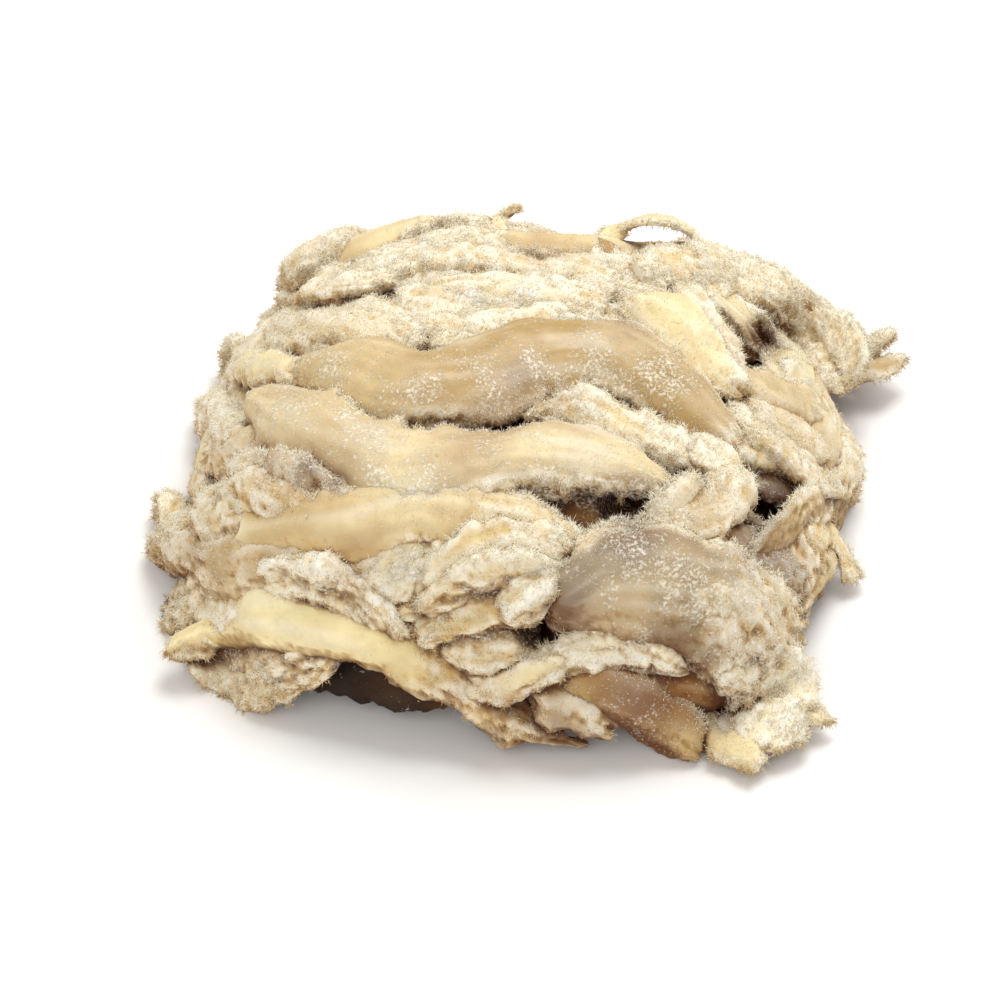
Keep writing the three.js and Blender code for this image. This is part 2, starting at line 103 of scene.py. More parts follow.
# Each strip's tone of flesh, and how fluffy it is at its first and last end, from 0 to 1. Then its width
# and thickness, the roll of its flat side in degrees and the share of its width left at its ends. Last, its
# middle line as (right, up, lift): right and up as seen in the view, and lift above the mound.
STRIPS = [
    # The broad strips across the top.
    strip("broad_amber", "amber", (0.1, 0.15), 31, 16, 5, (0.45, 0.5),
          (-59, 38, 1), (-45, 38, 2), (-27, 34, 3), (-9, 35, 3), (12, 41, 2), (30, 42, 2), (47, 34, 3),
          (67, 19, 2)),
    strip("long_tongue", "tan", (0.1, 0.1), 27, 15, 6, (0.6, 0.25),
          (-71, 29, 2), (-51, 19, 3), (-30, 9.3, 3), (-6, 9, 3), (18, 13.5, 3), (37, 9.8, 4), (50, 5, 5)),
    strip("smooth_plank", "honey", (0, 0.6), 22, 12, 6, (1, 0.6),
          (-74, -12.5, 3), (-60, -10, 3), (-42, -8, 4), (-24, -4, 4), (-6, -6, 3), (11, -10, 2),
          (21, -14, 0)),
    strip("short_fluff", "wool", (0.7, 1), 14, 9, 15, (0.4, 0.8),
          (10, 26, 0), (25, 26, 0), (40, 21, 1), (56, 13, 1)),
    strip("cream_over_amber", "cream", (0.8, 0.8), 15, 9, 10, (0.5, 0.5),
          (-28, 50, 0), (-8, 48.5, 1), (14, 52, 0), (36, 52, -1)),
    # The back of the top.
    strip("back_broad", "cream", (0.8, 0.8), 28, 12, 6, (0.5, 0.5),
          (-40, 64, 0), (-21, 71, 1), (3, 71, 2), (27, 67, 1), (45, 61, 0)),
    strip("back_middle", "cream", (0.7, 0.9), 18, 9, 8, (0.4, 0.4),
          (-30, 60, 1), (-12, 60, 2), (12, 58, 2), (35, 56, 1)),
    strip("back_rear", "cream", (0.8, 0.8), 18, 10, 0, (0.5, 0.5),
          (-26, 81, 0), (-5, 80, 1), (12, 74, 1), (26, 67, 0)),
    strip("back_amber", "honey", (0.05, 0.2), 15, 8, 20, (0.4, 0.4),
          (-52, 67, 4), (-42, 74, 6), (-30, 79, 6), (-18, 82, 4)),
    strip("yellow_back", "honey", (0.2, 0.3), 10, 5, 25, (0.5, 0.5),
          (-1, 79, 8), (12, 77, 8), (27, 76, 7), (42, 75, 6), (58, 75, 5)),
    strip("brown_back", "brown", (0.2, 0.2), 9, 5, 10, (0.6, 0.6),
          (14, 75, 4), (22, 76, 6), (30, 75, 6), (37, 72, 4)),
    strip("back_loop", "yellow", (0.3, 0.5), 8, 3, 30, (0.7, 0.7),
          (28, 74, 4), (36, 81, 9), (45, 84, 11), (54, 82, 9), (63, 74, 2)),
    strip("top_spike", "yellow", (0.5, 0.5), 5, 3, 0, (0.8, 0.4), (-1, 79, 8), (1, 85, 10), (5, 88, 11)),
    strip("back_left_lump", "tan", (0.7, 0.7), 22, 14, 5, (0.6, 0.6),
          (-62, 64, 0), (-53, 71, 1), (-40, 76, 1)),
    strip("back_left_inner", "wool", (0.8, 0.8), 17, 10, 10, (0.6, 0.6),
          (-60, 61, 2), (-47, 64, 4), (-33, 66, 3)),
    strip("left_cream", "cream", (0.9, 0.7), 17, 10, 5, (0.5, 0.5),
          (-66, 52, 0), (-48, 53, 1), (-30, 51, 1), (-14, 47, 0)),
    strip("left_nub", "wool", (0.9, 0.9), 13, 9, 0, (0.5, 0.5),
          (-73, 45, 0), (-60, 46.5, 1), (-48, 44, 1)),
    # The right side, from the back to the front.
    strip("back_ridge", "wool", (0.7, 0.9), 22, 11, 35, (0.5, 0.4),
          (45, 66, 1), (60, 69, 2), (75, 65.5, 3), (88, 55, 4), (98, 43.5, 7), (111, 42, 10)),
    strip("ridge_flap", "cream", (0.9, 1), 20, 10, 40, (0.8, 0.7),
          (90, 57, 20), (97, 46, 21), (100, 33, 19)),
    strip("right_tip", "amber", (0.6, 0.4), 10, 5, 0, (0.8, 0.4),
          (98, 37, 9), (111, 39, 11), (121, 42, 12)),
    strip("right_fork", "yellow", (0.6, 0.5), 6, 3, 0, (0.8, 0.5),
          (108, 45, 11), (114, 48, 14), (118, 50, 16)),
    strip("amber_inside", "cream", (0.7, 0.8), 15, 9, 35, (0.6, 0.5),
          (44, 63, 1), (58, 66, 3), (72, 64, 3), (86, 58, 3)),
    strip("cave_left", "wool", (0.7, 0.7), 12, 9, 0, (0.6, 0.6),
          (53, 64, 1), (60, 55, 2), (65, 46, 2), (71, 36, 1)),
    strip("cave_right", "wool", (0.9, 0.9), 13, 9, 30, (0.6, 0.7),
          (78, 62, 5), (90, 55, 8), (96, 46, 8), (98, 36, 8)),
    strip("right_diagonal", "yellow", (0.3, 0.6), 21, 10, 10, (0.25, 0.6),
          (38, 61, 3), (50, 52, 4), (60, 43, 4), (71, 33, 3)),
    strip("right_shelf", "tan", (0.4, 0.5), 15, 9, 5, (0.5, 0.7),
          (64, 42, 0), (76, 33, 2), (89, 27, 3), (99, 23, 4)),
    strip("right_band", "cream", (0.7, 0.8), 22, 10, 0, (0.6, 0.4),
          (69, 27, 0), (81, 21, 2), (91, 14, 4), (97, 8, 5)),
    strip("right_lip", "cream", (0.6, 0.5), 14, 8, 0, (0.6, 0.5),
          (66, 18, 0), (81, 12.5, 2), (97, 6.5, 4)),
    strip("knot_top", "wool", (0.7, 0.6), 14, 10, 0, (0.6, 0.7), (55, 14, 0), (63, 12, 1), (70, 7, 1)),
    strip("knot", "tan", (0.75, 0.8), 17, 12, 5, (0.6, 0.6),
          (69, 8, 1), (65, -3, 2), (51, -10, 2), (33, -15, 1), (22, -20, 0)),
    strip("white_shard", "white", (0.5, 0.3), 8, 3, 20, (0.2, 0.5), (43, -6, 5), (51, -1, 7), (59, 7, 8)),
    strip("under_tongue", "brown", (0.4, 0.5), 15, 9, 0, (0.6, 0.6),
          (8, 1, -9), (26, -3, -9), (42, -6, -9)),
    strip("purple_side", "violet", (0.7, 0.6), 19, 10, 0, (0.6, 0.6),
          (56, -16, -2), (73, -19, 0), (88, -26, 1)),
    strip("amber_flap", "honey", (0.55, 0.9), 22, 3.5, 35, (0.5, 0.8),
          (75, -17, 3), (84, -11, 6), (94, -4, 8), (104, 0, 9)),
    strip("amber_under_flap", "amber", (0.7, 0.6), 18, 6, 15, (0.7, 0.6),
          (86, -8, 3), (91, -17, 5), (96, -24, 5)),
    strip("right_curl", "yellow", (0.3, 0.9), 9, 3, 0, (0.8, 0.8),
          (92, -11, 10), (99, -10, 12), (103, -16, 10), (106, -24, 5)),
    strip("side_foot", "honey", (0.7, 0.7), 15, 10, 0, (0.7, 0.6),
          (76, -28, 3), (83, -32, 4), (89, -35, 4)),
    strip("side_under", "tan", (0.5, 0.5), 17, 10, 0, (0.6, 0.6),
          (84, -33, -7), (91, -22, -7), (96, -10, -7)),
    strip("cave_floor", "brown", (0.3, 0.3), 26, 8, 0, (0.7, 0.7),
          (62, 50, -11), (78, 44, -10), (92, 38, -8)),
    strip("cave_violet", "violet", (0.3, 0.4), 10, 6, 10, (0.6, 0.5),
          (76, 6, -3), (84, 3, -2), (92, -2, 0)),
    # The front, from the right to the left.
    strip("dome", "grey", (0, 1), 38, 18, 15, (0.6, 0.5),
          (18, -32, 0), (33, -27, 1), (51, -28, 2), (69, -37, 1), (82, -51, 0)),
    strip("under_dome", "brown", (0.4, 0.4), 24, 12, 0, (0.7, 0.7),
          (40, -46, -10), (58, -52, -10), (74, -58, -9)),
    strip("front_fluff", "white", (1, 1), 28, 11, 0, (0.6, 0.8),
          (64, -34, 5), (75, -46, 8), (80, -59, 8), (78, -73, 6)),
    strip("right_low_tip", "yellow", (0.6, 0.5), 9, 4, 0, (0.8, 0.3),
          (82, -58, 8), (91, -63, 8), (99, -66, 6)),
    strip("front_nub", "yellow", (0.3, 0.15), 12, 6, 0, (0.8, 0.6),
          (61, -66, 4), (70, -73, 5), (77, -79, 5)),
    strip("brown_twist", "brown", (0.35, 0.25), 20, 12, 30, (0.5, 0.75),
          (20, -54, 1), (35, -58, 2), (48, -66, 3), (57, -73, 4)),
    strip("front_over", "white", (0.8, 0.5), 14, 7, 20, (0.6, 0.4),
          (13, -49, 4), (30, -44, 6), (44, -45.5, 6), (55, -51, 5)),
    strip("grey_low", "grey", (0.4, 0.4), 16, 13, 0, (0.7, 0.7),
          (12, -58, 2), (22, -62, 4), (30, -67, 5)),
    strip("twisted_branch", "yellow", (0.6, 0.3), 10, 7, 30, (0.6, 0.5),
          (-12, -60, 8), (4, -55, 10), (20, -49, 9)),
    strip("front_rope", "yellow", (0, 1), 16, 10, 12, (0.4, 0.3),
          (-97, -44.5, 11), (-83, -38, 13), (-65, -37.5, 10), (-47, -41, 6), (-30, -46, 6), (-15, -55, 5),
          (0, -63.5, 4), (24, -72.5, 3)),
    strip("under_rope_left", "cream", (0.7, 0.9), 20, 14, 0, (0.5, 0.4),
          (-94, -46, 3), (-80, -50, 3), (-66, -48.5, 3), (-54, -43, 2)),
    # Painted shade: a near-black sheet laid in the hollow under the rope, standing in for the shadow there.
    strip("under_rope_floor", "shade", (0.3, 0.3), 16, 8, 0, (0.7, 0.7),
          (-56, -50, -14), (-34, -53, -14), (-16, -58, -14)),
    strip("under_middle", "cream", (0.8, 0.8), 20, 12, 0, (0.6, 0.6),
          (-20, -44, -1), (-3, -48, 0), (14, -44, -1)),
    strip("crumbly_flake", "white", (0.5, 0.6), 18, 9, 5, (0.7, 0.6),
          (-42, -20.5, 2), (-30, -15.5, 3), (-13, -13.5, 2)),
    strip("crumbly_lump", "cream", (0.6, 0.6), 17, 10, 0, (0.6, 0.6),
          (-34, -34, 1), (-29, -24, 2), (-25, -16, 2)),
    strip("cream_dome", "cream", (0.7, 0.5), 25, 14, 8, (0.4, 0.6),
          (-27, -38, 0), (-12, -27, 2), (6, -21, 3), (15, -20, 2)),
    strip("white_puff", "white", (1, 1), 16, 10, 0, (0.6, 0.6), (0, -33, 6), (8, -27, 8), (16, -22, 7)),
    # The left side, from the front to the back.
    strip("white_curl", "white", (1, 0.9), 16, 9, 10, (0.6, 0.4),
          (-73, -28, 3), (-62, -23, 5), (-50, -25, 5), (-39, -33, 4), (-28, -42, 3)),
    strip("low_left_row", "cream", (0.9, 0.9), 17, 11, 0, (0.7, 0.5),
          (-92, -41, -3), (-95, -34, -2), (-90, -27, -1), (-79, -25, 0), (-66, -26, 1)),
    strip("amber_left", "amber", (0.8, 0.4), 20, 13, 10, (0.5, 0.6),
          (-101, -14, 4), (-90, -16, 3), (-78, -22, 2), (-63, -19, 1), (-45, -19, 0)),
    strip("left_flap", "yellow", (0.5, 0.4), 12, 7, 0, (0.5, 0.6),
          (-101, 0, 7), (-96, -7, 6), (-91, -14, 6)),
    strip("left_fluff_low", "cream", (0.9, 0.9), 17, 10, 0, (0.5, 0.5),
          (-93, -8, 3), (-78, -3, 2), (-58, -4, 0)),
    strip("left_fluff", "cream", (0.9, 1), 17, 13, 10, (0.7, 0.4),
          (-82, 3, 2), (-67, 2, 2), (-54, -2, 1), (-42, -6, 0)),
    strip("left_column", "tan", (0.5, 0.5), 12, 9, 0, (0.6, 0.5), (-88, 2, 4), (-88, 9, 4), (-86, 17, 3)),
    strip("left_bits", "tan", (0.5, 0.4), 14, 9, 0, (0.6, 0.6), (-86, 11, 3), (-78, 16, 2), (-66, 19, 0)),
    strip("upper_left_fluff", "white", (1, 1), 19, 12, 0, (0.5, 0.5),
          (-79, 46, 1), (-77, 37, 2), (-81, 28, 3), (-79, 18, 3)),
    strip("upper_left_yellow", "yellow", (0.5, 0.5), 13, 8, 0, (0.6, 0.4),
          (-78, 42, 3), (-67, 38.5, 3), (-55, 39, 1)),
]

# Strips that cover the back, in courses round the mound: how far out from its middle, the lowest that a
# strip's middle line lies, how many strips, and the bearing in degrees of the first and the last.
BACK_COURSES = [
    SimpleNamespace(share=0.94, lowest=7, count=8, first=18, last=174),
    SimpleNamespace(share=0.86, lowest=6, count=2, first=2, last=14),
    SimpleNamespace(share=0.95, lowest=4, count=5, first=26, last=150),
    SimpleNamespace(share=0.87, lowest=9, count=6, first=30, last=150),
    SimpleNamespace(share=0.76, lowest=11, count=5, first=52, last=140),
]
# The points of a back strip's middle line, in half lengths from its middle.
BACK_STEPS = (-1, -0.33, 0.33, 1)
# A back strip's sizes and fluff, its slant and bow as shares of the way out, its height as a share of the
# mound's, and how much slant and bow change from strip to strip.
BACK_STRIP = SimpleNamespace(
    length=66, width=21, thick=13, ends=(0.5, 0.5), torn_fluff=0.85, smooth_fluff=0.3, slant=0.05, bow=0.04,
    sunk=0.9, variety=2.4)
# The tones that back strips have in turn.
BACK_TONES = ["cream", "tan", "cream", "amber", "cream", "honey", "white", "yellow"]

# Patches of another tone on the strips: the middle as (right, up), the radius, the tone and how much of it.
# Some patches are painted shade. Those of the dark gap colour darken gaps, caves and hollows. The brown one
# at (-60, 5) darkens the left fluff where it lies in shade, the brown one at (-70, 13) a gap by the left
# bits, and the tan one at (84, 22) a gap across the right band. The brown ones along the rope's right half,
# from (-30, -51) to (20, -73), darken its front face: partly its own browner side, partly painted shade.
# The amber one at (60, -6) darkens the knot: partly its tone, partly painted shade.
PATCHES = [
    ((6, 37), 6, "violet", 0.5), ((-3, 26), 7, "brown", 0.5), ((17, 30), 6, "brown", 0.35),
    ((40, 54), 6, "violet", 0.3), ((88, 56), 7, "violet", 0.2), ((-93, -14), 8, "violet", 0.2),
    ((35, -58), 7, "violet", 0.3), ((56, -73), 6, "honey", 0.8), ((50, -62), 8, "gap_shade", 0.3),
    ((-42, -18), 7, "brown", 0.4), ((-60, 5), 13, "brown", 0.4), ((79, 48), 6, "gap_shade", 0.95),
    ((39, -4), 7, "gap_shade", 0.9), ((79, -4), 5, "gap_shade", 0.8), ((67, -64), 5, "gap_shade", 0.9),
    ((60, -6), 9, "amber", 0.4), ((-30, -51), 8, "brown", 0.2), ((42, -62), 8, "violet", 0.4),
    ((78, -16), 7, "gap_shade", 0.4), ((20, -36), 8, "violet", 0.5), ((-12, -59), 9, "brown", 0.25),
    ((6, -67), 9, "brown", 0.2), ((20, -73), 6, "brown", 0.3), ((-46, 37), 17, "honey", 0.9),
    ((12, 77), 7, "brown", 0.4), ((84, 22), 8, "tan", 0.5), ((-57, 10), 4, "gap_shade", 0.7),
    ((-49, 6), 4, "gap_shade", 0.7), ((-70, 13), 4, "brown", 0.7), ((60, 0), 8, "tan", 0.4),
]
# Patches of powder: the middle as (right, up), the radius and how much of it.
POWDER = [
    ((8, 41), 6, 0.5), ((-27, 34), 7, 0.5), ((25, 36), 12, 0.45), ((52, 33), 9, 0.4), ((-5, 33), 8, 0.4),
    ((44, 40), 9, 0.4), ((-50, 40), 8, 0.4), ((0, 6), 9, 0.4), ((34, 4), 8, 0.6), ((-36, 12), 8, 0.4),
    ((52, -20), 12, 0.6), ((34, -19), 9, 0.5), ((66, -29), 11, 0.7), ((80, -48), 12, 0.8),
    ((40, -40), 7, 0.5), ((-48, 24), 8, 0.4), ((15, 5), 8, 0.5), ((44, 2), 7, 0.6), ((-20, 5), 8, 0.4),
    ((-62, 32), 8, 0.4),
]

# How much fluffier a strip's edges are than its middle, for some tones and usually.
EDGE_FLUFF = {"honey": 0.8, "tan": 0.8, "grey": 0.8}
USUAL_EDGE_FLUFF = 0.7
# How much fluffier the front face of a strip of some tones is, below a wavy line along it.
FACE_FLUFF = {"amber": 0.2, "honey": 0.4, "yellow": 0.7, "tan": 0.7, "grey": 0.4}

# How much powder lies on a strip, for some tones and usually, from 0 to 1.
FROST = {
    "amber": 0.4, "tan": 0.45, "grey": 0.28, "honey": 0.25, "yellow": 0.25, "brown": 0.35, "violet": 0.5,
    "shade": 0,
}
USUAL_FROST = 0.6

# How much of the torn faces' own colour shows on fluffy parts, for some tones and usually.
CHALK = {"brown": 0.35, "violet": 0.35, "shade": 0}
USUAL_CHALK = 0.85

# Each tone's main colour and the second colour that it is mottled with, as names of the colour settings.
TONES = {
    "amber": ("amber", "tan"),
    "tan": ("tan", "cream"),
    "honey": ("honey", "cream"),
    "yellow": ("yellow", "cream"),
    "cream": ("cream", "honey"),
    "wool": ("cream", "honey"),
    "white": ("white", "cream"),
    "grey": ("grey", "tan"),
    "violet": ("violet", "grey"),
    "brown": ("brown", "amber"),
    # The shade tone is painted shade: near-black, for the sheet in the hollow under the rope.
    "shade": ("skin", "skin"),
}


def linear(hex_colour):
    """An sRGB hex colour as linear red, green and blue."""
    values = np.array([int(hex_colour[i:i + 2], 16) for i in (1, 3, 5)]) / 255
    return tuple(np.where(values <= 0.04045, values / 12.92, ((values + 0.055) / 1.055) ** 2.4))


def colour(title, words, hex_colour):
    """A colour setting with a hex default."""
    return bpy.props.FloatVectorProperty(
        name=title, description=words, subtype="COLOR", size=3, min=0, max=1, default=linear(hex_colour))


class PollockColours(bpy.types.PropertyGroup):
    """The tones of the dried flesh."""
    amber: colour("Amber", "Smooth outer flesh of the broad strips", "#B89B66")
    tan: colour("Tan", "Pale outer flesh", "#CDB791")
    honey: colour("Honey", "Smooth pale flesh with a yellow cast", "#D9C292")
    yellow: colour("Yellow", "Thin, oily strips", "#EDDEAB")
    cream: colour("Cream", "Torn, fibrous flesh", "#E9D8AC")
    # The high parts of the torn faces' relief take this colour, partly their own tone and partly painted
    # light; pale streaks take it too.
    pale: colour("Pale", "High parts of the torn faces", "#FBF5E6")
    white: colour("White", "Cottony flesh", "#FFFAEE")
    grey: colour("Grey", "Thick, translucent flesh", "#9C8A73")
    violet: colour("Violet", "Dark flesh next to the skin", "#7C6260")
    brown: colour("Brown", "Dark, oily flesh", "#A0733F")
    # The low parts and creases of the torn faces' relief take this colour, partly their own tone and partly
    # painted shade.
    torn: colour("Torn", "Low parts of the torn faces", "#DABC80")
    # Painted shade: the dark colour that flesh seeing little of the sky is darkened towards, and that the
    # patches in gaps, caves and hollows take on.
    gap_shade: colour("Deep", "Flesh down in the gaps", "#5C2F16")
    # Painted shade: the near-black colour of the sheet in the hollow under the rope, standing in for the
    # shadow there rather than a dark side of a strip.
    skin: colour("Skin", "Dark side of a strip, down in the hollows", "#2A1C14")
    salt: colour("Salt", "Salt and flour on the surface", "#FFF9EA")
    fuzz: colour("Fuzz", "Loose fibres", "#FFF5D8")


class PollockSizes(bpy.types.PropertyGroup):
    """Sizes that set how fine and how frayed the heap is."""
    detail: bpy.props.FloatProperty(
        name="Detail", description="Spacing of the mesh on the strips", default=1.1 * MM, unit="LENGTH")
    fuzz_length: bpy.props.FloatProperty(
        name="Fuzz length", description="Usual length of the fibres that stand out", default=1.25 * MM,
        unit="LENGTH")
    fuzz_width: bpy.props.FloatProperty(
        name="Fuzz width", description="Width of a fibre at its root", default=0.36 * MM, unit="LENGTH")
    fuzz_count: bpy.props.IntProperty(
        name="Fuzz count", description="How many fibres stand out of the heap", default=125000, min=0)
    flake_count: bpy.props.IntProperty(
        name="Flakes", description="How many small flakes lie between the strips", default=130, min=0)


# Noise

NOISE_SEED = 7
LATTICE = 256
lattice_rng = np.random.default_rng(NOISE_SEED)
LATTICE_ORDER = lattice_rng.permutation(LATTICE)
LATTICE_SLOPES = lattice_rng.normal(size=(LATTICE, 3))
LATTICE_SLOPES /= np.linalg.norm(LATTICE_SLOPES, axis=1, keepdims=True)
NOISE_GAIN = 1.6


def noise(points):
    """Gradient noise, about -1 to 1, over points (n, 3) in lattice units.

    Each of a cell's eight corners has a slope from a shuffled table. Its dot product with the way from the
    corner to the point is blended over the cell by the smoother step.
    """
    cell = np.floor(points).astype(np.int64)
    part = points - cell
    blend = part ** 3 * (part * (part * 6 - 15) + 10)
    total = np.zeros(len(points))
    for corner in np.ndindex(2, 2, 2):
        x, y, z = ((cell + corner) % LATTICE).T
        column = LATTICE_ORDER[(LATTICE_ORDER[x] + y) % LATTICE]
        slope = LATTICE_SLOPES[LATTICE_ORDER[(column + z) % LATTICE]]
        weight = np.where(corner, blend, 1 - blend).prod(axis=1)
        total += weight * (slope * (part - corner)).sum(axis=1)
    return NOISE_GAIN * total


def smoothstep(low, high, values):
    """A smooth rise from 0 at low to 1 at high: three squares less two cubes of the share of the way."""
    share = np.clip((values - low) / (high - low), 0, 1)
    return share * share * (3 - 2 * share)


def between(low, high, share):
    """The value that is a share of the way from low to high."""
    return low + (high - low) * share


def towards(start, end, share):
    """Colours moved a share of the way from start to end, point by point."""
    return start + (np.array(end) - start) * share[:, None]


def unit(vectors):
    """Vectors brought to a length of one."""
    return vectors / np.linalg.norm(vectors, axis=-1, keepdims=True)


# Where things lie

def turned(ground, angle):
    """Ground points (n, 2) turned about the origin."""
    cosine, sine = math.cos(angle), math.sin(angle)
    return ground @ np.array([[cosine, sine], [-sine, cosine]])


def mound_share(ground, inset=0.0):
    """How far out ground points are, from 0 at the mound's middle to 1 at its foot, by a superellipse."""
    place = np.abs(turned(ground - MOUND.middle, -MOUND.turn))
    halves = np.array([MOUND.half_length, MOUND.half_depth]) - inset
    return ((place / halves) ** MOUND.corner).sum(axis=-1) ** (1 / MOUND.corner)


def mound_height(ground, inset=0.0):
    """The mound's height over ground points: a power of what is left of the way out."""
    rest = np.clip(1 - mound_share(ground, inset) ** MOUND.flatness, 0, None)
    return (MOUND.height - inset) * rest ** MOUND.roundness


def mound_point(bearing, share, inset=0.0):
    """Ground points at a share of the way out from the mound's middle, on bearings from its long axis."""
    cosine, sine = np.cos(bearing), np.sin(bearing)
    reach = share * (np.abs(cosine) ** MOUND.corner + np.abs(sine) ** MOUND.corner) ** (-1 / MOUND.corner)
    along = reach * cosine * (MOUND.half_length - inset)
    across = reach * sine * (MOUND.half_depth - inset)
    return turned(np.stack([along, across], axis=-1), MOUND.turn) + MOUND.middle


def mound_normal(ground):
    """Which way is out of the mound, leaning no further than the steepest lean."""
    step_x, step_y = np.array([SLOPE_REACH, 0.0]), np.array([0.0, SLOPE_REACH])
    slope_x = (mound_height(ground + step_x) - mound_height(ground - step_x)) / (2 * SLOPE_REACH)
    slope_y = (mound_height(ground + step_y) - mound_height(ground - step_y)) / (2 * SLOPE_REACH)
    share = np.minimum(1, STEEPEST_LEAN / np.maximum(np.hypot(slope_x, slope_y), SMALLEST_SLOPE))
    return unit(np.stack([-slope_x * share, -slope_y * share, np.ones_like(share)], axis=-1))


def seen(line):
    """Points of the heap under (right, up, lift) of the view.

    Each sight line is followed down from above to the first height that is no more than lift above the
    mound, or to the furthest back that is allowed.
    """
    right, up, lift = line[:, None, :].transpose(2, 0, 1)
    heights = np.arange(MOUND.height + HIGHEST_LIFT, 0, -MARCH_STEP)
    sine, cosine = math.sin(VIEW.elevation), math.cos(VIEW.elevation)
    rise = heights - VIEW.aim[2]
    shrink = up / VIEW.distance
    back = (up - rise * cosine - shrink * rise * sine) / (sine - shrink * cosine)
    depth = VIEW.distance + back * cosine - rise * sine
    x = right * depth / VIEW.distance + VIEW.aim[0] + MOUND.middle[0]
    y = back + VIEW.aim[1] + MOUND.middle[1]
    z = np.broadcast_to(heights, x.shape)
    reached = (z <= mound_height(np.stack([x, y], axis=-1)) + lift) | (y > MOUND.middle[1] + FURTHEST_BACK)
    first = np.where(reached.any(axis=1), reached.argmax(axis=1), -1)
    rows = np.arange(len(line))
    return np.stack([x[rows, first], y[rows, first], z[rows, first]], axis=-1)


def view_place(points):
    """Where points are in the view, as right and up."""
    apart = points - [*(VIEW.aim[:2] + MOUND.middle), VIEW.aim[2]]
    sine, cosine = math.sin(VIEW.elevation), math.cos(VIEW.elevation)
    depth = VIEW.distance + apart[:, 1] * cosine - apart[:, 2] * sine
    up = apart[:, 1] * sine + apart[:, 2] * cosine
    return np.stack([apart[:, 0], up], axis=-1) * (VIEW.distance / depth)[:, None]


def near(places, middle, radius):
    """How near places in the view are to a patch's middle: 1 there, and falling away round its radius."""
    return np.exp(-((places - middle) ** 2).sum(axis=1) / radius ** 2)


def dented(points):
    """Points pushed in along the view at each hollow, most on its sight line and none beyond its radius."""
    way = np.array([0, math.cos(VIEW.elevation), -math.sin(VIEW.elevation)])
    middles = seen(np.array([middle for middle, _ in HOLLOWS], float))
    for middle, (_, radius) in zip(middles, HOLLOWS):
        apart = points - middle
        along = apart @ way
        aside = np.linalg.norm(apart - along[:, None] * way, axis=1)
        push = HOLLOW_DEPTH * radius * np.clip(1 - (aside / radius) ** 2, 0, 1) ** 2
        push = push * smoothstep(HOLLOW_REACH * radius, HOLLOW_FADE * radius, np.abs(along))
        points = points + push[:, None] * way
    return points


PATH_SAMPLES = 24
SMALLEST_GAP = 1e-6


def smooth_path(points):
    """A centripetal Catmull-Rom curve through the points, as dense samples and their distances along it."""
    ends = np.concatenate([[2 * points[0] - points[1]], points, [2 * points[-1] - points[-2]]])
    before, first, last, after = ends[:-3], ends[1:-2], ends[2:-1], ends[3:]
    gap = np.maximum(np.sqrt(np.linalg.norm(np.diff(ends, axis=0), axis=1)), SMALLEST_GAP)[:, None]
    gap_before, gap_here, gap_after = gap[:-2], gap[1:-1], gap[2:]
    step = (last - first) / gap_here
    leave = (first - before) / gap_before - (last - before) / (gap_before + gap_here) + step
    arrive = step - (after - first) / (gap_here + gap_after) + (after - last) / gap_after
    t = np.linspace(0, 1, PATH_SAMPLES, endpoint=False)[:, None, None]
    curve = (first * (2 * t ** 3 - 3 * t ** 2 + 1) + leave * gap_here * (t ** 3 - 2 * t ** 2 + t)
             + last * (3 * t ** 2 - 2 * t ** 3) + arrive * gap_here * (t ** 3 - t ** 2))
    samples = np.concatenate([curve.transpose(1, 0, 2).reshape(-1, 3), points[-1:]])
    distances = np.concatenate([[0], np.cumsum(np.linalg.norm(np.diff(samples, axis=0), axis=1))])
    return samples, distances


def along_path(samples, distances, places):
    """Points of a path at places given as distances, running straight on beyond its ends."""
    inside = np.clip(places, 0, distances[-1])
    points = np.stack([np.interp(inside, distances, samples[:, k]) for k in range(3)], axis=-1)
    ahead = np.minimum(places, 0)[:, None] * unit(samples[1] - samples[0])
    beyond = np.maximum(places - distances[-1], 0)[:, None] * unit(samples[-1] - samples[-2])
    return points + ahead + beyond


# Surfaces. Each is points (n, 3), quads, triangles and, for each point, its fluff, frost, colour and lay.

def tube_faces(rows, columns):
    """Corner numbers of a closed tube: a first pole, rows of points and a last pole.

    Quads join neighbouring rows, and a fan of triangles closes each end.
    """
    ring = np.arange(columns)
    after = (ring + 1) % columns
    start = 1 + columns * np.arange(rows - 1)[:, None]
    quads = np.stack(
        [start + ring, start + after, start + columns + after, start + columns + ring], axis=-1)
    end = 1 + columns * (rows - 1)
    first_fan = np.stack([np.zeros_like(ring), 1 + after, 1 + ring], axis=-1)
    last_fan = np.stack([np.full_like(ring, end + columns), end + ring, end + after], axis=-1)
    return quads.reshape(-1, 4), np.concatenate([first_fan, last_fan])


def joined(surfaces):
    """Surfaces as one, with the corner numbers moved on."""
    shifts = np.cumsum([0] + [len(s.points) for s in surfaces[:-1]])
    whole = SimpleNamespace(
        quads=np.concatenate([s.quads + shift for s, shift in zip(surfaces, shifts)]),
        triangles=np.concatenate([s.triangles + shift for s, shift in zip(surfaces, shifts)]))
    for field in ("points", "fluff", "frost", "flesh", "lay"):
        setattr(whole, field, np.concatenate([getattr(s, field) for s in surfaces]))
    return whole


# The power of the section's superellipse on a smooth strip and on a torn one.
ROUND_POWER = 2.2
FLAT_POWER = 2.6
SECTION_SAMPLES = 360
# How dense the points are underneath, and between which heights that ends, in half thicknesses.
UNDERSIDE_DENSITY = 0.4
UNDERSIDE_END = (-0.7, -0.3)


